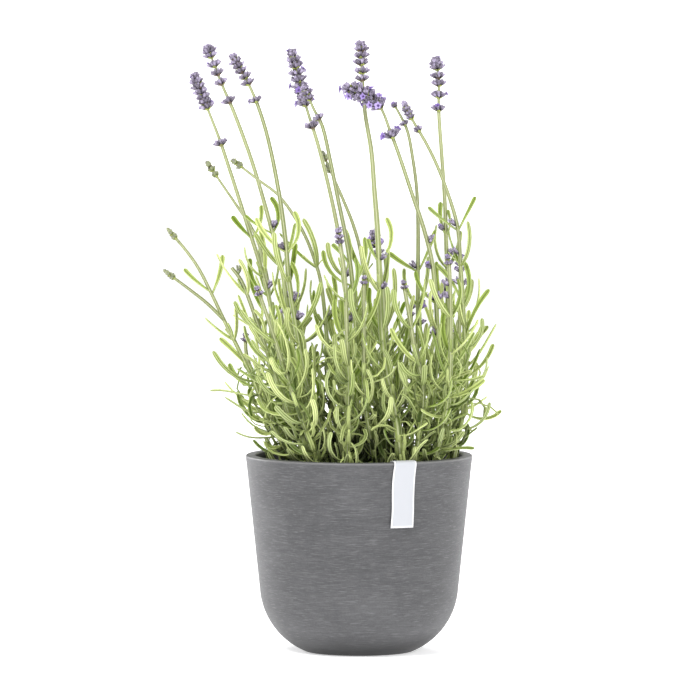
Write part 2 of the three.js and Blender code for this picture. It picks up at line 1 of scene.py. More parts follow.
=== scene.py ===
# Potted lavender: a flowering plant in potting soil, in a round-bottomed grey pot with a plain woven
# label folded over its rim. Metres, +Z up, with the plant's front to -Y. The shoots are reckoned in
# millimetres and turned into metres where their meshes are made.
import math

import bpy
import numpy as np
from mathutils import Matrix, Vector


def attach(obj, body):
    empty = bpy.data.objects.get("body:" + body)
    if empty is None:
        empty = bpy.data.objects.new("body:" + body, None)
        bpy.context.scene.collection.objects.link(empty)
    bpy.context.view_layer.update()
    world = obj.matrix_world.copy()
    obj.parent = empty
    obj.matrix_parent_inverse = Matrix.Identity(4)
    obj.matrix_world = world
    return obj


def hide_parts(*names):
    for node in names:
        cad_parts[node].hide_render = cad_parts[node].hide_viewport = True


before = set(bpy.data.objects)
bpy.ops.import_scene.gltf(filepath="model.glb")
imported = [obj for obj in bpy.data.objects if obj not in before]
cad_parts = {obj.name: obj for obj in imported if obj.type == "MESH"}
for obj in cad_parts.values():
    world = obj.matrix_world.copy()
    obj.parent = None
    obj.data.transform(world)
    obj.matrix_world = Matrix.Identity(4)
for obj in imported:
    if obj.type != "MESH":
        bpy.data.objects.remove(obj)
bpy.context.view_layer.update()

# ---------------------------------------------------------------- camera, floor and light
# The plant stands on a plain white studio floor and is seen from a long way off through a long lens,
# a few degrees above the level. Wide soft lamps light it from both sides, above and behind.
VIEW_WIDTH = 0.4594  # what the picture spans at the pot's axis
VIEW_CENTRE = Vector((-0.0073, 0, 0.2003))
VIEW_ELEVATION = math.radians(3.6)
VIEW_DISTANCE = 4.2
SENSOR = 36.0

camera = bpy.data.objects.new("camera", bpy.data.cameras.new("camera"))
back = Vector((0, -math.cos(VIEW_ELEVATION), math.sin(VIEW_ELEVATION)))
camera.data.sensor_width = SENSOR
camera.data.lens = SENSOR * VIEW_DISTANCE / VIEW_WIDTH
camera.location = VIEW_CENTRE + back * VIEW_DISTANCE
camera.rotation_euler = back.to_track_quat("Z", "Y").to_euler()
bpy.context.scene.collection.objects.link(camera)
bpy.context.scene.camera = camera
bpy.context.scene.view_settings.view_transform = "Standard"


def add_lamp(name, place, aim, size, watts):
    """A wide square lamp that the camera doesn't see."""
    light = bpy.data.lights.new(name, "AREA")
    light.shape = "SQUARE"
    light.size = size
    light.energy = watts
    lamp = bpy.data.objects.new(name, light)
    lamp.location = place
    lamp.rotation_euler = (Vector(place) - Vector(aim)).to_track_quat("Z", "Y").to_euler()
    lamp.visible_camera = False
    bpy.context.scene.collection.objects.link(lamp)


add_lamp("key_lamp", (-0.9, -1.6, 2.0), (0, 0, 0.2), 0.8, 52)
add_lamp("fill_lamp", (1.5, -1.3, 1.2), (0, 0, 0.15), 1.2, 17)
add_lamp("back_lamp", (0.3, 1.8, 1.7), (0, 0, 0.25), 1.2, 26)
add_lamp("left_edge_lamp", (-1.6, 1.3, 0.7), (0, 0, 0.1), 0.6, 26)
add_lamp("right_edge_lamp", (1.6, 1.3, 0.7), (0, 0, 0.1), 0.6, 14)

world = bpy.data.worlds.new("studio")
world.use_nodes = True
world.node_tree.nodes["Background"].inputs["Color"].default_value = (1, 1, 1, 1)
world.node_tree.nodes["Background"].inputs["Strength"].default_value = 0.28
bpy.context.scene.world = world

# ---------------------------------------------------------------- pot
# One piece of recycled plastic with a stone look, moulded with a flat foot, a round lower corner, a
# wall that leans in and a thick plain lip. It is turned from one outline. Its face is finely brushed
# round the pot, with pale and dark specks. The lip's rounded edges carry a painted highlight, the foot's
# edge and the inside painted shade, and the lower curve a faint painted reflection of the floor.
class Wire:
    """A number or colour on its way between shader nodes. Sums on it add Math nodes."""

    def __init__(self, finish, socket):
        self.finish = finish
        self.socket = socket

    def math(self, operation, *values):
        return self.finish.node("ShaderNodeMath", {"operation": operation}, dict(enumerate(values)))

    def __add__(self, other):
        return self.math("ADD", self, other)

    def __sub__(self, other):
        return self.math("SUBTRACT", self, other)

    def __rsub__(self, other):
        return self.math("SUBTRACT", other, self)

    def __mul__(self, other):
        return self.math("MULTIPLY", self, other)

    def __pow__(self, other):
        return self.math("POWER", self, other)

    def __abs__(self):
        return self.math("ABSOLUTE", self)

    __radd__, __rmul__ = __add__, __mul__


class Finish:
    """A material and the nodes that it is made of, one call to a node."""

    def __init__(self, name, **constants):
        self.material = bpy.data.materials.new(name)
        self.material.use_nodes = True
        self.tree = self.material.node_tree
        self.shader = self.tree.nodes["Principled BSDF"]
        for socket, value in constants.items():
            self.shader.inputs[socket.replace("_", " ")].default_value = value

    def put(self, socket, value):
        if isinstance(value, Wire):
            self.tree.links.new(value.socket, socket)
        else:
            socket.default_value = value

    def node(self, kind, settings=None, inputs=None, output=0):
        """Adds a node, with its settings, and its sockets by name or place, and gives an output."""
        made = self.tree.nodes.new(kind)
        for name, value in (settings or {}).items():
            setattr(made, name, value)
        for name, value in (inputs or {}).items():
            usable = [s for s in made.inputs if s.enabled]
            named = [s for s in usable if s.name == name]
            self.put(named[0] if named else usable[name], value)
        outputs = [s for s in made.outputs if s.enabled]
        return Wire(self, next((s for s in outputs if s.name == output), outputs[0]))

    def mix(self, share, first, second):
        """One colour over another."""
        settings = {"data_type": "RGBA", "clamp_factor": True}
        return self.node("ShaderNodeMix", settings, {"Factor": share, "A": first, "B": second})

    def coated(self, color, *coats):
        """A colour under thin coats, each with its share and its colour."""
        for share, coat in coats:
            color = self.mix(share, color, coat)
        return color

    def step(self, value, start, end):
        """From 0 to 1 as a value goes from start to end, smoothly."""
        inputs = {"Value": value, "From Min": start, "From Max": end}
        return self.node("ShaderNodeMapRange", {"interpolation_type": "SMOOTHSTEP"}, inputs)

    def place(self, stretch=(1, 1, 1)):
        """Where a point of the piece lies, with each axis stretched."""
        spot = self.node("ShaderNodeTexCoord", output="Object")
        return self.node("ShaderNodeVectorMath", {"operation": "MULTIPLY"}, {0: spot, 1: stretch})

    def noise(self, scale, stretch=(1, 1, 1), detail=2.0, rough=0.5):
        inputs = {"Vector": self.place(stretch), "Scale": scale, "Detail": detail, "Roughness": rough}
        return self.node("ShaderNodeTexNoise", {}, inputs)

    def mark(self, name):
        """A value that the mesh holds at each of its points."""
        return self.node("ShaderNodeAttribute", {"attribute_name": name}, output="Fac")

    def bump(self, height, depth, strength):
        """A normal that shows a height as relief; depth is in metres."""
        inputs = {"Height": height, "Distance": depth, "Strength": strength}
        return self.node("ShaderNodeBump", {}, inputs)

    def wear(self, color, roughness, normal=None):
        """Connects the shader, and gives the material."""
        self.put(self.shader.inputs["Base Color"], color)
        self.put(self.shader.inputs["Roughness"], roughness)
        if normal:
            self.put(self.shader.inputs["Normal"], normal)
        return self.material


def srgb(red, green, blue):
    """A colour as it is seen on a screen, from 0 to 255, as the light that it gives back."""
    share = np.array([red, green, blue]) / 255
    light = np.where(share <= 0.04045, share / 12.92, ((share + 0.055) / 1.055) ** 2.4)
    return (*(float(x) for x in light), 1.0)


class Heap:
    """Points and faces gathered for one piece, with values at each point for its material."""

    def __init__(self, *marks):
        self.points, self.faces, self.looks = [], [], []
        self.marks = {mark: [] for mark in marks}
        self.count = 0

    def skin(self, rings, look=0, **values):
        """A closed skin over rings of points: an array of rings, places round a ring, and x, y, z."""
        turns, around = rings.shape[:2]
        self.points.append(rings.reshape(-1, 3))
        for mark, gathered in self.marks.items():
            value = np.asarray(values.get(mark, 0.0), float)
            gathered.append(np.broadcast_to(value, (turns, around)).reshape(-1))
        index = self.count + np.arange(turns * around).reshape(turns, around)
        after = np.roll(index, -1, axis=1)
        quads = np.stack([index[:-1], after[:-1], after[1:], index[1:]], axis=-1).reshape(-1, 4)
        self.faces += [*quads.tolist(), index[0][::-1].tolist(), index[-1].tolist()]
        self.looks += [look] * (len(quads) + 2)
        self.count += turns * around

    def piece(self, name, finishes, scale=1.0):
        """The gathered skins as one object."""
        mesh = bpy.data.meshes.new(name)
        mesh.from_pydata((np.concatenate(self.points) * scale).tolist(), [], self.faces)
        for material in finishes:
            mesh.materials.append(material)
        mesh.polygons.foreach_set("material_index", self.looks)
        mesh.polygons.foreach_set("use_smooth", [True] * len(self.faces))
        for mark, gathered in self.marks.items():
            attribute = mesh.attributes.new(mark, "FLOAT", "POINT")
            attribute.data.foreach_set("value", np.concatenate(gathered).astype(np.float32))
        mesh.update()
        made = bpy.data.objects.new(name, mesh)
        bpy.context.scene.collection.objects.link(made)
        return made


POT_RIM = 0.075  # radius
POT_HEIGHT = 0.130
POT_FOOT = 0.036  # radius of the flat foot
POT_CORNER = 0.048  # radius of the round between wall and foot
POT_DRAFT = math.radians(6)
POT_WALL = 0.0068
POT_FLOOR = 0.007  # the height of its inside floor
LIP_ROUND = 0.0013  # radius of the lip's edges
POT_SIDES = 144
POINT_RADIUS = 0.0004  # of the small hole that closes a turned skin at the axis


def arc(centre, radius, start, end, count):
    """Points of radius and height on an arc, from one angle to another."""
    angles = np.linspace(start, end, count)
    return [(centre[0] + radius * math.cos(a), centre[1] + radius * math.sin(a)) for a in angles]


def turned(outline, sides):
    """Rings of points round the Z axis, one for each point of an outline of radius and height."""
    angle = np.arange(sides) * 2 * np.pi / sides
    radius, height = np.array(outline).T
    ring = np.stack([np.cos(angle), np.sin(angle), np.zeros(sides)], axis=-1)
    return ring[None] * radius[:, None, None] + np.array([0, 0, 1.0]) * height[:, None, None]


wall_line = POT_RIM * math.cos(POT_DRAFT) - POT_HEIGHT * math.sin(POT_DRAFT)
foot_angle = POT_DRAFT + math.acos((POT_FOOT * math.cos(POT_DRAFT) - wall_line + POT_CORNER) / POT_CORNER)
corner_centre = (POT_FOOT - POT_CORNER * math.cos(foot_angle), POT_CORNER * math.sin(foot_angle))
inner_rim = POT_RIM - POT_WALL
inner_corner = POT_CORNER - POT_WALL * math.cos(POT_DRAFT)
floor_angle = math.asin((corner_centre[1] - POT_FLOOR) / inner_corner)
lip_top = POT_HEIGHT - LIP_ROUND


def outer_at(height):
    """The outer wall's radius at a height, above its round corner."""
    return POT_RIM - (POT_HEIGHT - height) * math.tan(POT_DRAFT)


def inner_at(height):
    """The inner wall's radius at a height."""
    return outer_at(height) - POT_WALL


outside = [
    (POINT_RADIUS, 0),
    *((POT_FOOT * share, 0) for share in (0.4, 0.8)),
    *arc(corner_centre, POT_CORNER, -foot_angle, -POT_DRAFT, 22),
    *((outer_at(z), z) for z in np.linspace(0.05, 0.122, 9)),
    *arc((POT_RIM - LIP_ROUND, lip_top), LIP_ROUND * 0.985, -POT_DRAFT, math.pi / 2, 7),
    *arc((inner_rim + LIP_ROUND, lip_top), LIP_ROUND, math.pi / 2, math.pi, 6)[:-1],
]
inside = [
    (inner_rim, lip_top),
    *((inner_at(z), z) for z in (0.12, 0.08)),
    *arc(corner_centre, inner_corner, -POT_DRAFT, -floor_angle, 10),
    (POINT_RADIUS, POT_FLOOR),
]
pot_heap = Heap("inside")
pot_heap.skin(
    turned(outside + inside, POT_SIDES), inside=np.array([0] * len(outside) + [1] * len(inside))[:, None]
)

stone = Finish("pot_stone_plastic", Specular_IOR_Level=0.5)
cloud = stone.noise(26, stretch=(1, 1, 1.6), detail=3)
smear = stone.noise(60, stretch=(1, 1, 7), detail=4, rough=0.6)
streaks = stone.noise(90, stretch=(1, 1, 26), detail=4, rough=0.7)
scratches = stone.step(stone.noise(150, stretch=(1, 1, 13), detail=4), 0.52, 0.72)
grain = stone.noise(900, detail=3)
level = stone.node("ShaderNodeSeparateXYZ", {}, {"Vector": stone.place()}, output="Z")
shade = cloud * 0.35 + smear * 0.35 + streaks * 0.5 + grain * 0.25
# The lip's rounded edges, but not its flat top: a painted highlight.
lip_highlight = stone.step(level, 0.1281, 0.1294) * (1 - stone.step(level, 0.12965, 0.12985))
pot_color = stone.coated(
    srgb(60, 60, 62),
    (stone.step(shade, 0.5, 1.0), srgb(88, 88, 90)),
    (scratches * 0.55, srgb(114, 114, 116)),
    # painted highlight on the lip's rounded edges
    (lip_highlight * 0.35, srgb(150, 149, 150)),
    ((1 - stone.step(level, 0.002, 0.018)) * 0.94, srgb(6, 6, 8)),  # the foot's edge is in the shade
    # painted light: a faint painted reflection of the white floor on the lower curve
    ((1 - stone.step(level, 0.02, 0.07)) * 0.02, srgb(190, 190, 192)),
    # painted shade: the inner wall and the inside floor are made nearly black
    (stone.mark("inside") * 0.95, srgb(12, 11, 10)),
)
relief = streaks * 0.6 + grain * 0.3 + scratches * 0.3
pot_material = stone.wear(pot_color, 0.4 + 0.2 * streaks, stone.bump(relief, 0.0002, 0.45))
pot = pot_heap.piece("pot_shell", [pot_material])
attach(pot, "root")
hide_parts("pot")

# ---------------------------------------------------------------- soil
# Damp peat with a little bark, filled to a finger's width under the rim. It is one body with an
# uneven top, and crumbs of peat and bark lie on it, each sunk half its depth.
SOIL_TOP = POT_HEIGHT - 0.014
SOIL_SIDES = 120
SOIL_GAP = 0.0003  # to the pot
CRUMBS = 900
CRUMB_SIZE = 0.0006  # of the smallest
CRUMB_SPREAD = 0.0017  # how much larger the largest is
CRUMB = np.array([[1, 0, 0], [0.3, 0.9, 0.1], [-0.7, 0.6, 0], [-0.8, -0.5, 0.1], [0.2, -1, 0]])
CRUMB_LEVELS = ((0.7, -0.5), (1.05, 0.0), (0.85, 0.45), (0.35, 0.75))  # how wide it is, and how high


def stream(seed):
    """A repeatable stream of numbers from 0 to 1."""
    state = seed
    while True:
        state = (state + 0x6D2B79F5) & 0xFFFFFFFF
        t = ((state ^ (state >> 15)) * (1 | state)) & 0xFFFFFFFF
        t = ((t + (((t ^ (t >> 7)) * (61 | t)) & 0xFFFFFFFF)) ^ t) & 0xFFFFFFFF
        yield ((t ^ (t >> 14)) & 0xFFFFFFFF) / 4294967296


def ripple(x, y):
    """The lie of the soil: low lumps, and finer ones on them. In metres."""
    mm_x, mm_y = x * 1000, y * 1000
    low = np.sin(mm_x * 0.21 + 1.3) * np.cos(mm_y * 0.17) + 0.6 * np.sin(mm_y * 0.33 - mm_x * 0.12)
    fine = np.sin(mm_x * 0.9 + np.sin(mm_y * 0.7) * 2) * np.cos(mm_y * 1.1 - mm_x * 0.3)
    crumbly = np.sin(mm_x * 2.3 + mm_y * 1.1) * np.sin(mm_y * 2.7 - mm_x * 0.8)
    return 0.001 * (0.9 * low + 0.45 * fine + 0.25 * crumbly)


soil_edge = inner_at(SOIL_TOP) - SOIL_GAP
soil_corner = inner_corner - SOIL_GAP
soil_floor = math.asin((corner_centre[1] - POT_FLOOR - SOIL_GAP) / soil_corner)
soil_side = [
    (POINT_RADIUS, POT_FLOOR + SOIL_GAP),
    *arc(corner_centre, soil_corner, -soil_floor, -POT_DRAFT, 6),
    (soil_edge, SOIL_TOP - 0.001),
]
soil_top = [(soil_edge * share, SOIL_TOP) for share in np.linspace(0.985, 0.006, 46)]
soil_rings = turned(soil_side + soil_top, SOIL_SIDES)
top_rings = soil_rings[len(soil_side):]
top_rings[..., 2] += ripple(top_rings[..., 0], top_rings[..., 1])
soil_heap = Heap("tone")
soil_heap.skin(soil_rings, tone=0.3)

pick = stream(71)
for _ in range(CRUMBS):
    reach = math.sqrt(next(pick)) * (soil_edge - 0.003)
    angle = next(pick) * 2 * math.pi
    spot = np.array([reach * math.cos(angle), reach * math.sin(angle), 0])
    spot[2] = SOIL_TOP + float(ripple(spot[0], spot[1]))
    size = CRUMB_SIZE + CRUMB_SPREAD * next(pick) ** 2
    turn = next(pick) * 2 * math.pi
    long = 1 + 1.2 * next(pick) ** 3
    spin = np.array([[math.cos(turn), -math.sin(turn), 0], [math.sin(turn), math.cos(turn), 0], [0, 0, 1]])
    rough = 0.75 + 0.5 * np.array([[next(pick)] for _ in CRUMB])
    base = (CRUMB * rough * (long, 0.8, 1)) @ spin.T
    rings = np.array([spot + size * (base * (wide, wide, 0.5) + (0, 0, up)) for wide, up in CRUMB_LEVELS])
    soil_heap.skin(rings, tone=next(pick))

peat = Finish("soil_peat", Specular_IOR_Level=0.25)
fibre = peat.noise(900, detail=4, rough=0.7)
soil_color = peat.coated(
    srgb(26, 20, 15),
    (peat.step(fibre, 0.35, 0.7), srgb(64, 50, 38)),
    (peat.step(peat.mark("tone"), 0.72, 1.0) * 0.7, srgb(112, 84, 58)),
)
soil_material = peat.wear(soil_color, 0.82 + 0.15 * fibre, peat.bump(fibre, 0.0006, 0.8))
soil = soil_heap.piece("soil_fill", [soil_material])
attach(soil, "root")
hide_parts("soil")

# ---------------------------------------------------------------- label
# A strip of white woven ribbon with a denser selvedge on both edges. It is folded over the lip, hangs
# down the front and lifts a little at its free end. The mesh follows its side view, ring by ring.
LABEL_WIDTH = 0.0158
LABEL_THICK = 0.00045
LABEL_ANGLE = math.radians(23.5)
LABEL_OUTSIDE = 0.043
LABEL_INSIDE = 0.0105
LABEL_GAP = 0.00045  # to the pot
LABEL_STEPS = 64
LABEL_PLACES = 17  # points across the ribbon
THREAD_STEP = 0.00042

half_thick = LABEL_THICK / 2
label_off = LABEL_GAP + half_thick  # from the pot to the ribbon's middle


def beside_wall(wall_at, drop, off):
    """A radius and height beside a wall, at a drop from the rim."""
    return wall_at(POT_HEIGHT - drop) + off, POT_HEIGHT - drop


label_corners = [
    beside_wall(inner_at, LABEL_INSIDE, -0.00095),
    beside_wall(inner_at, 0.004, -0.00095),
    (inner_rim - 0.0008, POT_HEIGHT - 0.0007),
    (inner_rim + 0.0009, POT_HEIGHT + label_off),
    (POT_RIM - 0.0014, POT_HEIGHT + label_off),
    (POT_RIM + LABEL_GAP, POT_HEIGHT - 0.0007),
    beside_wall(outer_at, 0.006, label_off),
    beside_wall(outer_at, 0.018, label_off),
    beside_wall(outer_at, 0.031, label_off + 0.0004),
    (outer_at(POT_HEIGHT - LABEL_OUTSIDE) + 0.0018, POT_HEIGHT - LABEL_OUTSIDE + 0.0002),
]


def smooth_line(corners, count):
    """Points on a smooth line through some points, evenly shared out between them."""
    way = np.array(corners, float)
    way = np.concatenate([[2 * way[0] - way[1]], way, [2 * way[-1] - way[-2]]])
    spans = len(way) - 3
    line = []
    for i in range(count + 1):
        place = spans * i / count
        first = min(int(place), spans - 1)
        t = place - first
        before, start, end, after = way[first : first + 4]
        leave, arrive = 0.5 * (end - before), 0.5 * (after - start)
        bend = -3 * start + 3 * end - 2 * leave - arrive
        twist = 2 * start - 2 * end + leave + arrive
        line.append(start + leave * t + bend * t * t + twist * t * t * t)
    return np.array(line)


def travelled(line):
    """How far each point of a line lies along it."""
    return np.concatenate([[0], np.cumsum(np.linalg.norm(np.diff(line, axis=0), axis=1))])


def unit(vectors):
    """Vectors brought to a length of 1."""
    return vectors / np.linalg.norm(vectors, axis=-1, keepdims=True)


label_line = smooth_line(label_corners, LABEL_STEPS)
slope = unit(np.gradient(label_line, axis=0))
label_normal = np.stack([slope[:, 1], -slope[:, 0]], axis=-1)
label_travel = travelled(label_line)
label_length = float(label_travel[-1])
out_way = np.array([math.sin(LABEL_ANGLE), -math.cos(LABEL_ANGLE), 0])
side_way = np.array([math.cos(LABEL_ANGLE), math.sin(LABEL_ANGLE), 0])
across = np.linspace(-1, 1, LABEL_PLACES)
cup = 0.00022 * across**2  # the hanging ribbon follows the pot's round a little
label_rings = []
for (radius, level), normal, travel in zip(label_line, label_normal, label_travel):
    hanging = min(1, max(0, (travel - 0.022) / 0.02))  # 0 inside and over the lip, 1 down the front
    sway = -0.0009 * hanging + 0.00035 * math.sin(travel * 160)
    width = LABEL_WIDTH * (1 + 0.012 * math.sin(travel * 210 + 1))
    ring = []
    for side in (1, -1):
        for step, hollow in zip(across[::side], cup[::side]):
            edge_round = math.sqrt(max(0.0, 1 - max(0.0, (abs(step) - 0.96) / 0.04) ** 2 * 0.75))
            push = normal * (side * half_thick * edge_round)
            reach = radius + push[0] - (hollow if hanging > 0 else 0)
            ring.append(out_way * reach + side_way * (step * width / 2 + sway) + (0, 0, level + push[1]))
    label_rings.append(ring)
label_heap = Heap("across", "travel")
label_heap.skin(
    np.array(label_rings),
    across=np.concatenate([across, across[::-1]])[None],
    travel=(label_travel / label_length)[:, None],
)

ribbon = Finish("label_ribbon", Specular_IOR_Level=0.4, Sheen_Weight=0.15)
edge, travel = abs(ribbon.mark("across")), ribbon.mark("travel")
thread = travel.math("SINE", travel * (label_length * 2 * math.pi / THREAD_STEP))
warp = travel.math("SINE", ribbon.mark("across") * 105)
selvedge = ribbon.step(edge, 0.86, 0.9)
border = 1 - (1 - selvedge) * (1 - ribbon.step(travel, 0.975, 0.985))
groove = ribbon.step(edge, 0.83, 0.86) * (1 - selvedge)
weave = thread * 0.5 + warp * 0.35 + ribbon.noise(1500) * 0.6
ribbon_color = ribbon.coated(
    srgb(189, 191, 196),
    (border, srgb(238, 238, 240)),
    (ribbon.step(weave, -0.2, 1.3) * 0.25, srgb(178, 181, 187)),
    (groove * 0.35, srgb(160, 163, 170)),
)
relief = weave + border * 2
label_material = ribbon.wear(ribbon_color, 0.62 - 0.1 * border, ribbon.bump(relief, 0.00006, 0.6))
label = label_heap.piece("label_ribbon", [label_material])
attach(label, "root")
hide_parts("label")

# ---------------------------------------------------------------- shoots
# The plant's own stems: square, green, a little woody at the soil. Each follows a smooth line through
# a few points and is rooted in the soil. Leaves sit on it in opposite pairs, each a quarter turn from
# the last; between the main pairs there are finer ones, and small tufts grow in their corners.
# way: points that the shoot passes. leafy: first and last main pair, in mm from the soil; pairs: how
# many. rings: each ring of calyces, in mm from the tip; scale: the size of its calyces; slim: how far
# those of a closed bud spread; open: the share that flowers. root and top: half diagonals of the stem.
# axils: small buds on the stem, each with its height from the soil and its angle round the shoot (0 is
# to the right and 180 to the left). posed: leaves that stand out, each with its height, its angle
# round the shoot, its angles to the shoot at root and tip, and its length.
MM = 0.001
SOIL_MM = 116  # the height of the soil
ROOT_DEPTH = 13
TRACK_STEPS = 60
LABEL_HALF = 8  # half the label's width, rounded up
KEEP_OFF = 3  # between a leaf's line and the pot, the soil or the label
CROWN = 34  # how much of a stem's end keeps leaves away from its head
CROWN_RADIUS = 6
USUAL = dict(
    pairs=5, scale=1, slim=1, root=1.9, top=1.25, open=0, pale=False, forked=False, axils=(), posed=()
)

FLOWERING = [
    dict(way=[(-37, 19, 130), (-49, 24, 175), (-61, 27, 237), (-76, 31, 286), (-91, 37, 332),
              (-99, 40, 353), (-110, 43, 381)],
         leafy=(14, 134), rings=(1, 4, 7.5, 11.5, 15, 18.5, 22, 48), open=0.1, axils=[(126, 0)],
         posed=[(161, 180, 29, 17, 20), (161, 10, 59, 9, 24), (121, 180, 49, -24, 30)]),
    dict(way=[(-29, -4, 130), (-40, -3, 177), (-50, 1, 247), (-59, 4, 283), (-70, 8, 321), (-82, 11, 354),
              (-91, 13, 375), (-101, 16, 401)],
         leafy=(16, 140), rings=(1.4, 3.5, 6.2, 12.7, 18.5, 25.3, 38.5), scale=0.95, open=0.04,
         axils=[(167, 0), (120, 0), (109, 180)], posed=[(164, 195, 54, 31, 22), (164, 15, 56, -29, 26)]),
    dict(way=[(-17, -28, 130), (-33, -33, 176), (-45, -34, 240), (-48, -33, 271), (-52, -30, 301),
              (-58, -26, 332), (-64, -23, 354), (-72, -20, 374), (-84, -17, 395)],
         leafy=(14, 134), rings=(1, 4, 7.5, 11, 15.5, 20, 32.5), scale=0.88, root=2.3, open=0.06,
         axils=[(157, 180), (123, 0), (110, 0)],
         posed=[(155, 180, 58, 16, 31), (155, 0, 57, -27, 30), (118, 0, 35, -21, 32)]),
    dict(way=[(-5, 28, 130), (-8, 36, 204), (-9, 42, 240), (-13, 44, 270), (-19, 46, 300), (-27, 48, 332),
              (-36, 51, 361), (-45, 53, 396)],
         leafy=(20, 130), rings=(1, 4.5, 8.5, 13.5, 18, 22.5, 26.5, 30.5, 34.4, 50), scale=1.08,
         open=0.15, axils=[(130, 0), (100, 0)]),
    dict(way=[(-1, -9, 130), (-2, -6, 208), (-5, -5, 249), (-9, -2, 275), (-14, 1, 299), (-19, 3, 324),
              (-24, 5, 346), (-30, 6, 358), (-37, 6, 375)],
         leafy=(18, 106), rings=(1.5, 4.5, 8, 22.5), scale=0.85, open=0.15,
         posed=[(126, 190, 74, -5, 33), (126, 10, 46, -6, 34), (139, 180, 24, 41, 19)]),
    dict(way=[(14, 46, 130), (9, 50, 203), (2, 50, 256), (-3, 50, 277), (-10, 51, 295), (-17, 53, 311),
              (-25, 54, 329)],
         leafy=(22, 130), pairs=4, rings=(1, 3.5, 9.5, 12), scale=0.75, slim=0.75, top=1, pale=True),
    dict(way=[(27, -49, 130), (24, -46, 160), (18, -43, 188), (15, -40, 212), (13, -40, 257),
              (12, -38, 280), (10, -34, 305), (8, -30, 331), (4, -25, 355), (2, -21, 378), (1, -16, 403)],
         leafy=(22, 124), rings=(0.8, 3, 7.4, 12, 17.7, 22.6), root=2.9, open=0.1,
         axils=[(146, 0), (127, 0)], posed=[(145, 0, 54, -30, 32), (145, 190, 38, 10, 17)]),
    dict(way=[(43, -25, 130), (51, -27, 196), (49, -27, 249), (43, -29, 278), (34, -32, 305),
              (26, -35, 329), (20, -37, 345), (14, -39, 360), (4, -41, 368), (-11, -42, 374)],
         leafy=(16, 98), rings=(1.5, 5.5, 9.5, 13.5, 17.5, 21.5, 25.5, 46.5), scale=1.2, open=0.5,
         axils=[(156, 0), (139, 180), (118, 180), (118, 0), (95, 180)],
         posed=[(116, 175, 56, 3, 26), (114, 5, 110, 140, 14), (44, 235, 130, 150, 21)]),
    dict(way=[(29, 20, 130), (38, 18, 192), (39, 16, 256), (39, 14, 283), (38, 12, 306), (35, 10, 328),
              (32, 9, 343), (27, 8, 354), (21, 6, 364)],
         leafy=(24, 112), pairs=4, rings=(1.8, 15.5), scale=0.68, top=1.05, open=0.1,
         axils=[(137, 180), (110, 0), (99, 0)], posed=[(135, 180, 64, 50, 23), (135, 0, 30, 15, 30)]),
    dict(way=[(63, -11, 132), (70, -12, 168), (70, -12, 200), (67, -10, 252), (65, -8, 279),
              (60, -6, 298), (53, -3, 317), (45, 0, 334), (35, 3, 351), (29, 5, 363)],
         leafy=(20, 140), pairs=4, rings=(1, 3.8, 6.6, 9.4, 19), scale=0.8, slim=0.75, top=1.05,
         open=0.03, axils=[(167, 180), (148, 180), (128, 180)],
         posed=[(164, 180, 51, 38, 25), (164, 0, 37, 33, 25), (113, 10, 32, -21, 31),
                (113, 190, 12, 45, 34), (91, 0, 12, 43, 38), (67, 0, 61, 17, 29), (45, 0, 128, 32, 28)]),
    dict(way=[(45, 29, 130), (56, 34, 172), (59, 36, 231), (58, 36, 267), (57, 37, 297), (55, 37, 326),
              (53, 38, 355), (53, 38, 374), (51, 39, 392)],
         leafy=(20, 138), rings=(0.8, 2.7, 5, 10.7, 15.7, 23.6, 32.3), open=0.1,
         axils=[(163, 180), (146, 0), (123, 180), (93, 0)],
         posed=[(160, 190, 26, -11, 23), (160, 20, 14, 4, 25)]),
]
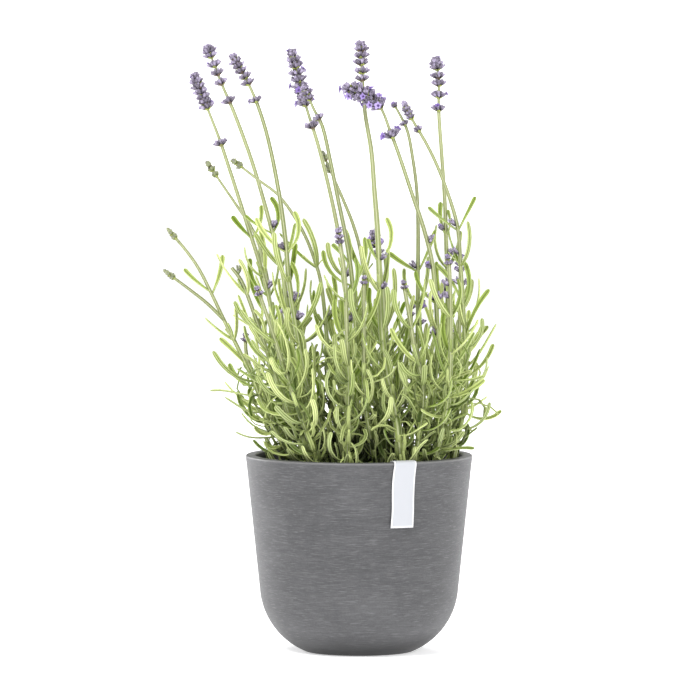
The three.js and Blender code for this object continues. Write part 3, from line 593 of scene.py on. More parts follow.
BUDDING = [
    dict(way=[(-37, 43, 130), (-52, 50, 177), (-59, 53, 222), (-61, 54, 242), (-65, 55, 260),
              (-71, 57, 276), (-81, 58, 291), (-94, 59, 310), (-102, 60, 322)],
         leafy=(20, 120), pairs=4, rings=(1.2, 4.5, 8.8), scale=0.75, slim=0.75, top=0.85, pale=True),
    dict(way=[(-13, 14, 130), (-19, 13, 179), (-24, 9, 235), (-29, 7, 257), (-38, 3, 279), (-52, -1, 300),
              (-67, -5, 312), (-85, -8, 326)],
         leafy=(22, 138), pairs=4, rings=(2, 6), scale=0.75, slim=0.7, top=0.85, pale=True,
         axils=[(105, 0)], posed=[(198, 0, 31, 2, 13), (197, 180, 50, 29, 15)]),
    dict(way=[(-28, -45, 130), (-47, -54, 185), (-62, -60, 231), (-68, -63, 247)],
         leafy=(14, 98), rings=(2, 5.5), scale=0.6),
    dict(way=[(-44, 12, 130), (-62, 12, 166), (-74, 10, 193), (-75, 8, 213)],
         leafy=(14, 72), pairs=4, rings=(2, 5), scale=0.6),
    dict(way=[(-8, -51, 130), (-7, -54, 171), (-9, -56, 242), (-12, -58, 268), (-14, -60, 284)],
         leafy=(14, 118), rings=(1.5, 5, 8.5), scale=0.7, open=0.2),
    dict(way=[(16, 3, 130), (19, 4, 180), (17, 6, 225), (15, 8, 245), (12, 9, 265), (8, 10, 279)],
         leafy=(21, 123), rings=(1.5, 4.5, 7.5, 14), scale=0.85, open=0.2, axils=[(151, 0), (151, 180)]),
    dict(way=[(10, -38, 130), (4, -48, 171), (3, -55, 240), (4, -57, 254)],
         leafy=(14, 104), rings=(2, 5), scale=0.55),
    dict(way=[(37, -37, 130), (42, -47, 171), (36, -54, 205), (28, -57, 251)],
         leafy=(12, 104), rings=(2, 5), scale=0.6),
    dict(way=[(52, 8, 130), (61, 11, 166), (66, 13, 206), (67, 12, 248), (66, 12, 263)],
         leafy=(16, 109), pairs=4, rings=(1.5, 5, 9), scale=0.72, open=0.2, axils=[(127, 0)],
         posed=[(79, 5, 42, 34, 30), (46, 0, 90, -10, 27)]),
    dict(way=[(50, -34, 130), (59, -46, 177), (59, -58, 248), (57, -60, 267)],
         leafy=(12, 112), rings=(1.5, 5), scale=0.6, open=0.1, axils=[(133, 180), (125, 180)],
         posed=[(58, 0, 71, 40, 27)]),
    dict(way=[(21, 42, 130), (29, 56, 176), (35, 63, 208), (34, 65, 227)],
         leafy=(14, 86), rings=(2, 5.5), scale=0.6, axils=[(112, 0)]),
]
# The first of these forks near its top: it and its side branch each end in a small bud.
LEAFY = [
    dict(way=[(-45, -8, 130), (-59, -11, 153), (-71, -13, 183), (-89, -15, 220), (-96, -16, 235),
              (-105, -17, 253), (-114, -18, 266), (-126, -19, 280)],
         leafy=(14, 104), pairs=4, top=0.95, forked=True,
         posed=[(140, 175, 33, 15, 23), (138, 5, 53, 30, 27), (85, 180, 12, 25, 26),
                (70, 180, 61, -6, 25), (60, 170, 83, -23, 23), (48, 180, 96, -25, 17),
                (38, 185, 98, -8, 16), (28, 180, 88, -5, 16)]),
    dict(way=[(-35, -33, 130), (-52, -43, 177), (-74, -51, 241), (-83, -54, 256)],
         leafy=(14, 132), pairs=6, pale=True, axils=[(147, 0)]),
    dict(way=[(-24, 50, 130), (-39, 64, 169), (-47, 74, 195), (-53, 81, 221)], leafy=(12, 102)),
    dict(way=[(-6, 56, 130), (-9, 74, 168), (-11, 84, 200), (-13, 90, 227)], leafy=(12, 104)),
    dict(way=[(38, 47, 130), (54, 64, 169), (62, 75, 194), (67, 82, 214)], leafy=(12, 92)),
]
FORK = dict(  # the side branch, and the buds on both ends
    way=[(-89, -15, 220), (-100, -19, 231), (-111, -23, 240), (-128, -27, 253)], root=1.3, top=0.9,
    rings=(1.5, 5), scale=0.75, slim=0.55, bud_length=12,
)


class Track:
    """A smooth line through some points, in short straight steps, and its length."""

    def __init__(self, way):
        self.points = smooth_line(way, TRACK_STEPS)
        self.lengths = travelled(self.points)
        self.length = float(self.lengths[-1])

    def spot(self, distance):
        """The point and the direction at a distance from the start."""
        i = min(max(int(np.searchsorted(self.lengths, distance)), 1), TRACK_STEPS)
        share = (distance - self.lengths[i - 1]) / (self.lengths[i] - self.lengths[i - 1])
        step = self.points[i] - self.points[i - 1]
        return self.points[i - 1] + step * share, unit(step)


def rooted(way):
    """A way with its root added, straight down into the soil."""
    (x, y, z), (x2, y2, z2) = way[:2]
    share = (SOIL_MM - ROOT_DEPTH - z) / (z2 - z)
    return [(x + (x2 - x) * share, y + (y2 - y) * share, SOIL_MM - ROOT_DEPTH), *way]


def outward(along, angle):
    """A direction square to a shoot's own, at an angle round it."""
    right = unit(np.array([along[2], 0, -along[0]]))
    behind = np.cross(along, right)
    return right * math.cos(angle) + behind * math.sin(angle)


class Thicket:
    """All that is in place so far, as short straight pieces with a radius, to keep leaves apart."""

    def __init__(self):
        self.table = np.zeros((0, 9))

    def place(self, line, radius, owner, is_stalk=False):
        """Adds a line's pieces: two ends, the radius, the owner, and 1 if it is or joins a stem."""
        rows = [(*line[i], *line[i + 1], radius, owner, is_stalk or i == 0) for i in range(len(line) - 1)]
        self.table = np.concatenate([self.table, rows])

    def is_clear(self, line, radius, owner, clearance):
        """True if a leaf's line touches nothing but the stem that it grows from."""
        start, end = self.table[:, 0:3], self.table[:, 3:6]
        least = radius + self.table[:, 6] + clearance
        own = self.table[:, 7] == owner
        own_joined = own & (self.table[:, 8] > 0)
        for i in range(len(line) - 1):
            close = self.distances(line[i], line[i + 1], start, end) < least
            if (close & ~(own if i == 0 else own_joined)).any():
                return False
        return True

    @staticmethod
    def distances(a, b, c, d):
        """The least distances from the straight piece a-b to each of the pieces c-d."""
        u, v, w = b - a, d - c, a - c
        uu, vv, uv = (u * u).sum(), (v * v).sum(1), (u * v).sum(1)
        uw, vw = (u * w).sum(1), (v * w).sum(1)
        spread = uu * vv - uv * uv
        s = np.where(spread > 1e-9, np.clip((uv * vw - vv * uw) / np.maximum(spread, 1e-9), 0, 1), 0)
        t = (uv * s + vw) / vv
        past = (t < 0) | (t > 1)
        t = np.clip(t, 0, 1)
        s = np.where(past, np.clip((uv * t - uw) / uu, 0, 1), s)
        return np.linalg.norm(w + u * s[:, None] - v * t[:, None], axis=1)


def clear_of_pot(point):
    """True for a point that is clear of the soil, the pot and the label, in mm."""
    x, y, z = point
    rim = POT_HEIGHT / MM
    inner = (POT_RIM - POT_WALL) / MM
    if z < SOIL_MM + KEEP_OFF:
        return False
    if z < rim + KEEP_OFF:
        return math.hypot(x, y) < inner - (rim - z) * math.tan(POT_DRAFT) - KEEP_OFF
    out_of_front = x * math.sin(LABEL_ANGLE) - y * math.cos(LABEL_ANGLE)
    beside = abs(x * math.cos(LABEL_ANGLE) + y * math.sin(LABEL_ANGLE))
    over_label = out_of_front > inner - 5 and beside < LABEL_HALF + KEEP_OFF
    return not (over_label and z < rim + 2 * KEEP_OFF)


shoots = []
thicket = Thicket()
for group, stem, head in (
    (FLOWERING, "flower_stem", "flower_head"),
    (BUDDING, "bud_stem", "bud_head"),
    (LEAFY, "leafy_shoot", None),
):
    for number, shoot in enumerate(group, start=1):
        track = Track(rooted(shoot["way"]))
        shoot = dict(USUAL, **shoot, track=track, owner=len(shoots), leaves=[], stem=f"{stem}_{number}")
        shoot["head"] = head and f"{head}_{number}"
        shoot["end"] = track.length - (max(shoot["rings"]) + 4 if head else 0)
        shoots.append(shoot)
        thicket.place(track.points[::2], shoot["root"], shoot["owner"], is_stalk=True)
        if head:
            crown = track.points[track.lengths > track.length - CROWN]
            thicket.place(crown, CROWN_RADIUS * shoot["scale"], shoot["owner"])
        if shoot["forked"]:
            fork_track = Track(FORK["way"])
            thicket.place(fork_track.points, FORK["root"], shoot["owner"], is_stalk=True)

# ---------------------------------------------------------------- leaves
# Narrow blades with rolled edges, a groove along the top and a midrib under it, blunt at the tip and
# softly downy. A leaf leaves its stem at one angle and sweeps round to another. Young leaves high on
# a shoot are upright and yellow-green, old ones near the soil are spread, curled and dull.
LEAF_LENGTH = 37
FINE_LENGTH = 34
LEAF_WIDTH = 3.7
LEAF_CLEAR = 0.5
LEAF_TRIES = 9
LOW_LEAVES = 44  # on each shoot, where there is room
LOW_REACH = 78  # how far up the shoot they grow
MIDRIB_PARTS = 4
SKIN_PARTS = 40  # of the smooth line that a leaf's skin follows
STEM_STEP = 5
SHADE_TOP, SHADE_FADE = 60, 38  # the dark foot: its height over the soil, and how it fades down
SHADE_REACH, SHADE_EDGE = 54, 24  # its radius, and how it fades inward
SECTION = np.array([  # across in half widths, height in mm, and 1 on the underside, from edge to edge
    (-1.0, 0.02, 0.4), (-0.94, 0.34, 0), (-0.68, 0.38, 0), (-0.30, -0.06, 0), (0.0, -0.42, 0),
    (0.30, -0.06, 0), (0.68, 0.38, 0), (0.94, 0.34, 0), (1.0, 0.02, 0.4),
    (0.84, -0.34, 1), (0.46, -0.22, 1), (0.0, -0.74, 1), (-0.46, -0.22, 1), (-0.84, -0.34, 1),
])
STATIONS = np.array([0, 0.06, 0.15, 0.27, 0.40, 0.54, 0.68, 0.80, 0.90, 0.955, 0.985, 1.0])
SHORT_SECTION = SECTION[[0, 2, 4, 6, 8, 9, 11, 13]]
SHORT_STATIONS = STATIONS[[0, 2, 4, 6, 8, 9, 10, 11]]


def mixed(first, second, share):
    """A value between two others."""
    return first + (second - first) * share


def swing(draw, reach):
    """A random number from -reach/2 to reach/2."""
    return (next(draw) - 0.5) * reach


def midrib(seat, azimuth, length, angles):
    """A leaf's line, and its edge's direction. The angles to the stem are shared out along it."""
    point, along = seat
    out = outward(along, azimuth)
    line = [point]
    for i in range(MIDRIB_PARTS):
        share = (i + 0.5) / MIDRIB_PARTS
        angle = float(np.interp(share, np.linspace(0, 1, len(angles)), angles))
        step = along * math.cos(angle) + out * math.sin(angle)
        line.append(line[-1] + step * length / MIDRIB_PARTS)
    return np.array(line), unit(np.cross(along, out))


def grow(shoot, height, shape_of, width=LEAF_WIDTH, clearance=LEAF_CLEAR, tries=LEAF_TRIES, **looks):
    """Adds the first clear leaf of several tries to a shoot. Each try has its own shape."""
    seat = shoot["track"].spot(ROOT_DEPTH + height)
    for attempt in range(tries):
        azimuth, angles, length, roll = shape_of(attempt)
        line, edge = midrib(seat, math.radians(azimuth), length, np.radians(angles))
        clear = all(clear_of_pot(point) for point in line[1:])
        if clear and thicket.is_clear(line, width / 2, shoot["owner"], clearance):
            thicket.place(line, width / 2, shoot["owner"])
            leaf = dict(line=line, edge=edge, roll=math.radians(roll), width=width, **looks)
            shoot["leaves"].append(leaf)
            break


def posed_leaves(shoot):
    """The leaves that stand out, flat side to the front: as posed, or turned further at each try."""
    for i, (height, around, start, end, length) in enumerate(shoot["posed"]):
        draw = stream(shoot["owner"] * 5009 + i * 17)
        grow(shoot, height, lambda attempt: (
            around + swing(draw, 16) * attempt,
            (start + swing(draw, 10) * attempt, end + swing(draw, 10) * attempt),
            length * (1 - 0.04 * attempt),
            math.copysign(75, math.cos(math.radians(around))) + swing(draw, 60),
        ), age=0.35)


def main_pairs(shoot):
    """Each seat of the main pairs: its pair and side, its height as a share and in mm, and its azimuth."""
    for pair in range(shoot["pairs"]):
        height = pair / (shoot["pairs"] - 1)
        for side in range(2):
            yield pair, side, height, mixed(*shoot["leafy"], height), 45 + pair * 90 + side * 180


def paired_leaves(shoot):
    """The main pairs: short, spread and hooked near the soil, and long and upright high up."""
    for pair, side, height, up, azimuth in main_pairs(shoot):
        draw = stream(shoot["owner"] * 1009 + pair * 31 + side * 7)
        size = mixed(0.5, 1, math.sin(math.pi * (0.12 + 0.62 * height)))
        grow(shoot, up, lambda attempt: (
            azimuth + swing(draw, 20 + 14 * attempt),
            (mixed(92, 46, height) + swing(draw, 30), mixed(-12, 2, height) + swing(draw, 56)),
            LEAF_LENGTH * size * (0.8 + 0.38 * next(draw)) * (1 - 0.05 * attempt),
            swing(draw, 150),
        ), age=1 - height)


def finer_leaves(shoot):
    """Two lighter pairs between each main pair and the next, but the last, and one at the soil."""
    gaps = shoot["pairs"] - 1
    thirds = [(gap + third / 3, third) for gap in range(gaps - 1) for third in (1, 2)]
    for place, quarter in [(-0.45, 2), *thirds]:
        height = min(1, max(0, place / gaps))
        up = max(4, mixed(*shoot["leafy"], place / gaps))
        size = mixed(0.6, 1, math.sin(math.pi * min(1, 0.18 + 0.6 * height)))
        curl = 1.2 - 0.85 * height
        for side in range(2):
            azimuth = 45 + 90 * (math.floor(place) + quarter) + side * 180
            draw = stream(shoot["owner"] * 2003 + round(place * 300) + side * 11 + 77)
            width = 2.6 + 1.3 * next(draw)

            def shape_of(attempt):
                turn = azimuth + swing(draw, 30 + 16 * attempt)
                start = mixed(94, 44, height) + swing(draw, 50)
                middle = start + mixed(-45, -18, height) + swing(draw, 70) * curl
                end = middle + mixed(-35, -6, height) + swing(draw, 120) * curl
                length = FINE_LENGTH * size * (0.7 + 0.5 * next(draw)) * (1 - 0.045 * attempt)
                return turn, (start, middle, end), length, swing(draw, 110)

            grow(shoot, up, shape_of, width, 0.15, 12, age=1 - height)


def tuft_leaves(shoot):
    """Small leaves in the corners of the main pairs, in twos and threes."""
    for pair, side, height, up, azimuth in main_pairs(shoot):
        draw = stream(shoot["owner"] * 3001 + pair * 53 + side * 19 + 5)
        for _ in range(3 if height < 0.75 else 2):
            width = 1.5 + 0.9 * next(draw)
            start = 20 + 30 * next(draw)
            shape = (
                azimuth + swing(draw, 110),
                (start, start - 35 + 60 * next(draw)),
                (7 + 12 * next(draw)) * mixed(1.15, 0.8, height),
                swing(draw, 90),
            )
            grow(shoot, up + 1.2, lambda _: shape, width, 0.0, 1, age=0.3, small=True)


def low_leaves(shoot):
    """Thin old leaves low on the shoot, short, dark and curled, which fill the plant's foot."""
    draw = stream(shoot["owner"] * 4507 + 29)
    for _ in range(LOW_LEAVES):
        height = next(draw)
        width = 1.7 + 1.3 * next(draw)

        def shape_of(attempt):
            start = 50 + 60 * next(draw)
            bend = (60 + 130 * next(draw)) * (-1 if next(draw) < 0.7 else 1)
            length = (12 + 16 * next(draw)) * (1 - 0.06 * attempt)
            return 360 * next(draw), (start, start + bend * 0.4, start + bend), length, swing(draw, 140)

        up = 2 + LOW_REACH * height ** 1.5
        grow(shoot, up, shape_of, width, -0.5, 7, age=1.7 - 0.6 * height, small=True)


for add_leaves in (posed_leaves, paired_leaves, finer_leaves, tuft_leaves, low_leaves):
    for shoot in shoots:
        add_leaves(shoot)


def inner_shade(points):
    """How deep a point lies in the plant's dark foot: 1 near the soil's middle, 0 outside and above."""
    low = np.clip((SHADE_TOP - (points[..., 2] - SOIL_MM)) / SHADE_FADE, 0, 1)
    deep = np.clip((SHADE_REACH - np.hypot(points[..., 0], points[..., 1])) / SHADE_EDGE, 0, 1)
    return low * deep


def add_leaf(heap, leaf, tone):
    """The skin of one leaf."""
    section, stations = (SHORT_SECTION, SHORT_STATIONS) if leaf.get("small") else (SECTION, STATIONS)
    fine = smooth_line(leaf["line"], SKIN_PARTS)
    shares = np.linspace(0, 1, SKIN_PARTS + 1)
    points = np.stack([np.interp(stations, shares, fine[:, k]) for k in range(3)], axis=-1)
    along = unit(np.gradient(points, stations, axis=0))
    turn = leaf["roll"] * stations[:, None]
    edge = np.broadcast_to(leaf["edge"], points.shape)
    side = edge * np.cos(turn) + np.cross(along, edge) * np.sin(turn)
    above = np.cross(along, side)
    width = mixed(0.5, 1, np.sin(np.clip(stations / 0.38, 0, 1) * np.pi / 2))
    blunt = np.sqrt(np.clip(1 - (np.clip(stations - 0.92, 0, 1) / 0.0815) ** 2, 0, 1))
    reach = leaf["width"] * 0.46 * width * blunt
    depth = np.maximum(blunt, 0.15) * min(1.15, leaf["width"] / 2.6)
    rings = (
        points[:, None]
        + side[:, None] * (section[:, 0] * reach[:, None])[..., None]
        + above[:, None] * (section[:, 1] * depth[:, None])[..., None]
    )
    heap.skin(
        rings[:, ::-1], look=1, tone=tone, age=leaf["age"], along=stations[:, None],
        across=section[None, ::-1, 0], under=section[None, ::-1, 2], shade=inner_shade(points)[:, None],
    )


blade = Finish("leaf_downy", Specular_IOR_Level=0.18, Sheen_Weight=0.04, Sheen_Roughness=0.4)
tone, age, along, under = (blade.mark(name) for name in ("tone", "age", "along", "under"))
off_middle = abs(blade.mark("across"))
down = blade.noise(2600, detail=2)
patch = blade.noise(160, detail=3)
hue = tone.math("FRACT", tone * 7.3)
fresh = blade.coated(
    srgb(124, 150, 46), (tone, srgb(202, 214, 134)), (blade.step(hue, 0.6, 0.9) * 0.55, srgb(152, 172, 100))
)
dull = blade.coated(
    srgb(76, 102, 20), (tone, srgb(208, 222, 140)), (blade.step(hue, 0.5, 0.9) * 0.55, srgb(116, 140, 76))
)
old = blade.mix(tone ** 1.5, srgb(22, 36, 2), srgb(214, 228, 146))
blade_color = blade.coated(
    fresh,
    (blade.step(age + (tone - 0.5) * 0.5, 0.25, 1.0), dull),
    (blade.step(age, 1.05, 1.45), old),
    (blade.step(patch, 0.45, 0.8) * 0.25, srgb(144, 162, 68)),
)
# Painted shade: the blade's colour darkened, for the groove along the top, the hollows beside the midrib
# underneath and the leaf's foot by its stem.
painted_shade_color = blade.mix(0.5, blade_color, srgb(50, 62, 4))
pale_color = blade.mix(blade.step(age, 1.5, 0.9) * 0.36, blade_color, srgb(236, 240, 190))
# The groove along the top gets painted shade.
top_color = blade.mix(blade.step(off_middle, 0.1, 0.55), painted_shade_color, blade_color)
top_color = blade.mix(blade.step(off_middle, 0.62, 0.95) * 0.5, top_color, pale_color)
# Underneath: a pale midrib, painted shade in the hollows beside it, and pale rolled edges.
low_color = blade.mix(blade.step(off_middle, 0.1, 0.34), pale_color, painted_shade_color)
low_color = blade.mix(blade.step(off_middle, 0.44, 0.78), low_color, pale_color)
leaf_color = blade.coated(
    top_color,
    (blade.step(under, 0.4, 0.9), low_color),
    # painted shade at the leaf's foot, by its stem
    ((1 - blade.step(along, 0.0, 0.28)) * 0.45, painted_shade_color),
    (blade.step(down, 0.5, 0.85) * 0.08, srgb(222, 226, 196)),
    (blade.mark("shade") * 0.86, srgb(16, 26, 0)),
)
relief = down * 0.5 + patch * 0.6
leaf_material = blade.wear(leaf_color, 0.5 + 0.15 * down, blade.bump(relief, 0.00018, 0.4))

stalk = Finish("stem_green", Specular_IOR_Level=0.35, Sheen_Weight=0.15)
along = stalk.mark("along")
fuzz = stalk.noise(1500, stretch=(1, 1, 0.12), detail=3)
stem_color = stalk.coated(
    srgb(112, 122, 68),
    (stalk.mark("tone"), srgb(146, 154, 102)),
    ((1 - stalk.step(along, 0.35, 0.75)) * 0.6, srgb(152, 172, 84)),
    ((1 - stalk.step(along, 0.02, 0.22)) * 0.6, srgb(150, 156, 96)),
    (1 - stalk.step(along, 0.0, 0.09), srgb(112, 100, 66)),
    # painted highlight along the stem's four ridges
    (stalk.mark("across") * 0.7, srgb(204, 206, 170)),
    (stalk.step(fuzz, 0.45, 0.8) * 0.2, srgb(126, 136, 84)),
    (stalk.mark("shade") * 0.5, srgb(46, 48, 14)),
)
stem_material = stalk.wear(stem_color, 0.5 + 0.2 * fuzz, stalk.bump(fuzz, 0.0002, 0.4))


def add_stem(heap, track, start, end, thick, thin, tone, height=(0.0, 1.0)):
    """The skin of a square stem with rounded ridges."""
    count = max(2, round((end - start) / STEM_STEP))
    ridges = np.array([1.0, 0.0, 0.0] * 4)
    rings = []
    for distance in np.linspace(start, end, count + 1):
        point, along = track.spot(distance)
        reach = mixed(thick, thin, (distance - start) / (end - start)) * mixed(0.8, 1, ridges)
        rings.append([point + outward(along, k * math.pi / 6) * reach[k] for k in range(12)])
    rings = np.array(rings)
    values = np.linspace(*height, count + 1)[:, None]
    heap.skin(rings, tone=tone, along=values, across=ridges[None], shade=inner_shade(rings))


# ---------------------------------------------------------------- flower heads
# Rings of downy ribbed calyces round the top of a stem, violet at the mouth, with small bracts under each
# ring.
# The valleys between their ribs carry painted shade, and the violet calyces are painted nearly black at the
# foot, as painted shade deep in the head; the pale buds' calyces are grey-green there. They spread from the
# stem like an open fan. Some calyces hold an open flower. Each calyx is a short ribbed tube, and a flower
# is a flared tube with five lobes.
FAN = ((8, 4.9, 1.9), (6, 3.5, 3.0), (3, 1.5, 3.5))  # each circle's calyces, their reach and their rise
CALYX_WIDE = 0.92  # half the width of a calyx
CALYX_ROWS = np.array([  # share of the length, share of the width, and how far the ribs end in teeth
    (0, 0.34, 0), (0.16, 0.74, 0), (0.38, 1.0, 0), (0.66, 0.98, 0),
    (0.88, 0.88, 0), (1.0, 0.82, 0.09), (0.93, 0.58, 0), (0.8, 0.05, 0),
])
FLOWER_ROWS = np.array([  # height, reach, and how far the edge follows the lobes
    (0.0, 0.22, 0), (0.4, 0.24, 0), (0.62, 0.40, 0.2), (0.74, 0.80, 0.8), (0.70, 1.0, 1.0),
    (0.64, 0.97, 1.0), (0.62, 0.74, 0.8), (0.52, 0.30, 0.2), (0.3, 0.12, 0),
])
BRACT_ROWS = ((0, 0.35), (0.25, 0.9), (0.55, 1.0), (0.8, 0.55), (1.0, 0.06))  # shares of length and width
HEAD_STALK = (1.05, 0.7)  # half diagonals of the stem inside a head
HEAD_TOP = 3.4  # from the seat of a ring at the very tip to the tip
AXIL_CALYCES = 9


def spokes(way, count):
    """Directions square to a way, all round it."""
    aside = unit(np.cross(way, (0.31, 0.17, 0.93) if abs(way[2]) < 0.9 else (1.0, 0, 0)))
    angle = np.arange(count)[:, None] * 2 * math.pi / count
    return aside * np.cos(angle) + np.cross(way, aside) * np.sin(angle)


def add_calyx(heap, foot, tip, wide, tone):
    """A ribbed tube that swells, narrows and ends in small teeth, with a mouth inside."""
    way = unit(tip - foot)
    length = float(np.linalg.norm(tip - foot))
    around = spokes(way, 10)
    rib = np.array([1.0, 0.0] * 5)[:, None]
    rings = np.array([
        foot + way * length * (share + jag * rib) + around * (wide * size * mixed(0.82, 1, rib))
        for share, size, jag in CALYX_ROWS
    ])
    heap.skin(rings, look=1, tone=tone, along=CALYX_ROWS[:, :1], across=rib.T)


def add_flower(heap, foot, way, size, tone):
    """An open flower: a short tube and five lobes, the two upper ones larger."""
    around = spokes(way, 20)
    angle = np.arange(20) * math.pi / 10
    lobes = (0.66 + 0.34 * np.abs(np.cos(angle * 2.5))) * np.where(np.cos(angle) > 0.3, 1.15, 0.92)
    rings = np.array([
        foot + way * (up * 2.6 * size) + around * (reach * 1.95 * size * mixed(1.0, lobes, petal))[:, None]
        for up, reach, petal in FLOWER_ROWS
    ])
    heap.skin(rings, look=2, tone=tone, along=FLOWER_ROWS[:, 1:2])


def add_bract(heap, foot, way, side, length, tone):
    """A small pointed bract that lies under a ring of calyces."""
    above = np.cross(way, side)
    rings = []
    for share, wide in BRACT_ROWS:
        centre = foot + way * length * share + above * (0.5 * share * share)
        reach, rise = side * wide * length * 0.42, above * 0.18
        rings.append([centre + reach, centre + rise, centre - reach, centre - rise])
    heap.skin(np.array(rings), look=3, tone=tone, along=np.array(BRACT_ROWS)[:, :1])


def add_head(heap, track, start, seed, rings, scale, slim, openness=0):
    """A whole head on the end of a track, from a distance along it."""
    draw = stream(seed)
    seats = [track.length - from_tip - HEAD_TOP for from_tip in sorted(rings, reverse=True)]
    add_stem(heap, track, start, seats[-1] + 1.5, *HEAD_STALK, next(draw), (0.9, 1.0))
    for ring, seat in enumerate(seats):
        point, along = track.spot(seat)
        last = seat == seats[-1]
        spread = slim * (0.62 if last else 1.0)
        opens = openness * mixed(0.6, 0.1, ring / len(seats))
        for circle, (count, reach, rise) in enumerate(FAN):
            for k in range(count):
                size = scale * (0.86 + 0.28 * next(draw))
                out = outward(along, ring * 0.9 + (k + circle / 2 + swing(draw, 0.6)) * 2 * math.pi / count)
                foot = point - along * 0.6 * scale + out * 0.45
                lift = rise * size * mixed(2.0, 1, slim) * (1.2 if last else 1.0)
                tip = point + along * lift + out * reach * spread * size
                add_calyx(heap, foot, tip, CALYX_WIDE * size * mixed(0.7, 1, slim), next(draw))
                if next(draw) < opens * (circle < 2):
                    way = unit(tip - foot)
                    add_flower(heap, tip - way * 0.9 * scale, way, size * 1.1, next(draw))
        for side in range(4):
            out = outward(along, ring + side * math.pi / 2)
            foot = point - along * 1.5 * scale + out * 0.5
            way = unit(out * 0.9 * slim + along * 0.75)
            add_bract(heap, foot, way, unit(np.cross(way, along)), 3.2 * scale, mixed(1, next(draw), slim))


def add_axil_bud(heap, track, height, angle, seed):
    """A few calyces on the side of a stem, in the corner of a leaf."""
    draw = stream(seed)
    point, along = track.spot(ROOT_DEPTH + height)
    out = outward(along, math.radians(angle))
    beside = np.cross(along, out)
    root = point + out * 0.9
    for k in range(AXIL_CALYCES):
        fan = mixed(-1.1, 1.1, k / (AXIL_CALYCES - 1)) + swing(draw, 0.5)
        way = unit(along * (0.9 + swing(draw, 0.7)) + out * (0.7 + swing(draw, 0.9)) + beside * fan)
        tip = root + way * (4.6 + 1.8 * next(draw))
        add_calyx(heap, root + way * 0.4, tip, 0.7 + 0.15 * next(draw), next(draw))
        if next(draw) < 0.12:
            add_flower(heap, tip - way * 0.8, way, 0.75, next(draw))


def calyx_look(name, foot, body, mouth, rib_color):
    """The finish of calyces, from foot to mouth, with pale down on their ribs and painted shade in the
    valleys between them.
    """
    calyx = Finish(name, Specular_IOR_Level=0.2, Sheen_Weight=0.08, Sheen_Roughness=0.5)
    along, tone, rib = (calyx.mark(name) for name in ("along", "tone", "across"))
    hair = calyx.noise(3200, detail=2)
    color = calyx.coated(
        foot,
        (calyx.step(along + (tone - 0.5) * 0.4, 0.3, 0.7), body),
        (calyx.step(along + (tone - 0.5) * 0.5, 0.68, 0.96), mouth),
        (calyx.step(tone.math("FRACT", tone * 5.7), 0.35, 0.7) * 0.62, foot),
        # painted shade in the valleys between the ribs
        ((1 - rib) * 0.3, foot),
        (rib * calyx.step(along, 0.25, 0.7) * 0.5, rib_color),
        (calyx.step(hair, 0.55, 0.8) * 0.12, srgb(232, 226, 234)),
    )
    return calyx.wear(color, 0.6 + 0.2 * hair, calyx.bump(hair, 0.0002, 0.5))


# Painted shade: the violet calyces are nearly black at the foot, for the shade deep in a head.
calyx_material = calyx_look(
    "calyx_violet", srgb(20, 8, 26), srgb(66, 50, 80), srgb(184, 172, 204), srgb(212, 203, 222)
)
pale_material = calyx_look(
    "calyx_green", srgb(96, 108, 62), srgb(146, 156, 106), srgb(124, 118, 126), srgb(208, 212, 178)
)

petal = Finish("flower_violet", Specular_IOR_Level=0.3, Sheen_Weight=0.2)
petal_color = petal.mix(petal.mark("tone"), srgb(124, 98, 172), srgb(178, 160, 212))
petal_color = petal.mix(petal.step(petal.mark("along"), 0.2, 0.5), srgb(74, 48, 112), petal_color)
petal_color = petal.mix(petal.step(petal.noise(1200), 0.5, 0.8) * 0.25, petal_color, srgb(190, 176, 222))
flower_material = petal.wear(petal_color, 0.6)

bract = Finish("bract_papery", Specular_IOR_Level=0.3)
bract_color = bract.coated(
    srgb(116, 100, 82),
    (bract.step(bract.mark("tone"), 0.3, 0.6), srgb(168, 178, 98)),
    (bract.step(bract.noise(1500, detail=3), 0.45, 0.75) * 0.3, srgb(104, 92, 78)),
)
bract_material = bract.wear(bract_color, 0.75)

MARKS = ("tone", "age", "along", "across", "under", "shade")
LEAFY_FINISHES = [stem_material, leaf_material]
VIOLET_FINISHES = [stem_material, calyx_material, flower_material, bract_material]
PALE_FINISHES = [stem_material, pale_material, flower_material, bract_material]


def add_piece(heap, name, node, finishes):
    """The heap as a piece that stands for a solid."""
    piece = heap.piece(name, finishes, MM)
    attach(piece, "root")
    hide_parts(node)


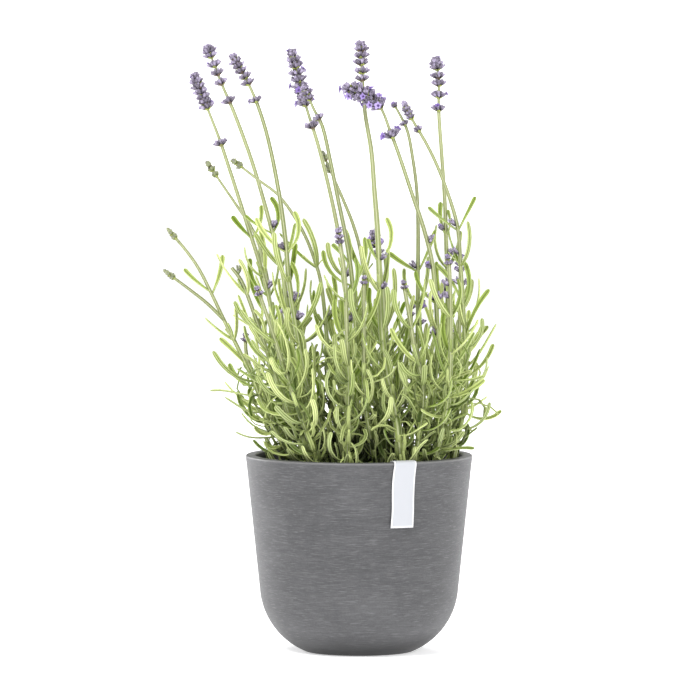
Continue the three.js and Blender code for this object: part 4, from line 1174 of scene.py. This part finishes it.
for shoot in shoots:
    track, owner, stem, head = (shoot[key] for key in ("track", "owner", "stem", "head"))
    finishes = PALE_FINISHES if shoot["pale"] else VIOLET_FINISHES
    tones = stream(owner * 59 + 3)
    heap = Heap(*MARKS)
    add_stem(heap, track, 0, shoot["end"], shoot["root"], shoot["top"], next(tones))
    for leaf in shoot["leaves"]:
        add_leaf(heap, leaf, next(tones))
    if shoot["forked"]:
        add_stem(heap, fork_track, 0, fork_track.length, FORK["root"], FORK["top"], next(tones), (0.6, 1.0))
    add_piece(heap, stem + "_grown", stem, LEAFY_FINISHES)
    if shoot["forked"]:
        heap = Heap(*MARKS)
        for line in (track, fork_track):
            start = line.length - FORK["bud_length"]
            add_head(heap, line, start, 5, FORK["rings"], FORK["scale"], FORK["slim"])
        add_piece(heap, "fork_buds", stem, PALE_FINISHES)
    if shoot["axils"]:
        heap = Heap(*MARKS)
        for i, (height, angle) in enumerate(shoot["axils"]):
            add_axil_bud(heap, track, height, angle, owner * 7001 + i * 13)
        add_piece(heap, stem + "_axil_buds", stem, finishes)
    if head:
        heap = Heap(*MARKS)
        size = [shoot[key] for key in ("rings", "scale", "slim", "open")]
        add_head(heap, track, shoot["end"], owner * 4001 + 17, *size)
        add_piece(heap, head + "_grown", head, finishes)

# ---------------------------------------------------------------- floor
# A plain white studio floor that carries the pot's faint shadow, with low white walls far round it.
# It glows a little, and more beyond the lamps' reach, so that it stays white up to the walls' top.
FLOOR_REACH = 8
WALL_HEIGHT = 1.2
LAMPS_REACH = (0.8, 2.6)  # how far from the pot their light begins and ends to fade

ground = Finish("studio_floor", Specular_IOR_Level=0.0, Emission_Strength=0.8)
from_pot = ground.node("ShaderNodeVectorMath", {"operation": "LENGTH"}, {0: ground.place()}, output="Value")
glow = ground.mix(ground.step(from_pot, *LAMPS_REACH), srgb(206, 206, 206), srgb(255, 255, 255))
ground.put(ground.shader.inputs["Emission Color"], glow)
floor_material = ground.wear(srgb(246, 246, 247), 1.0)
floor_mesh = bpy.data.meshes.new("floor")
floor_corners = [
    (x * FLOOR_REACH, y * FLOOR_REACH, z)
    for z in (0, WALL_HEIGHT)
    for x, y in ((-1, -1), (1, -1), (1, 1), (-1, 1))
]
walls = [(k, k + 4, (k + 1) % 4 + 4, (k + 1) % 4) for k in range(4)]
floor_mesh.from_pydata(floor_corners, [], [(0, 1, 2, 3), *walls])
floor_mesh.materials.append(floor_material)
floor = bpy.data.objects.new("floor", floor_mesh)
bpy.context.scene.collection.objects.link(floor)
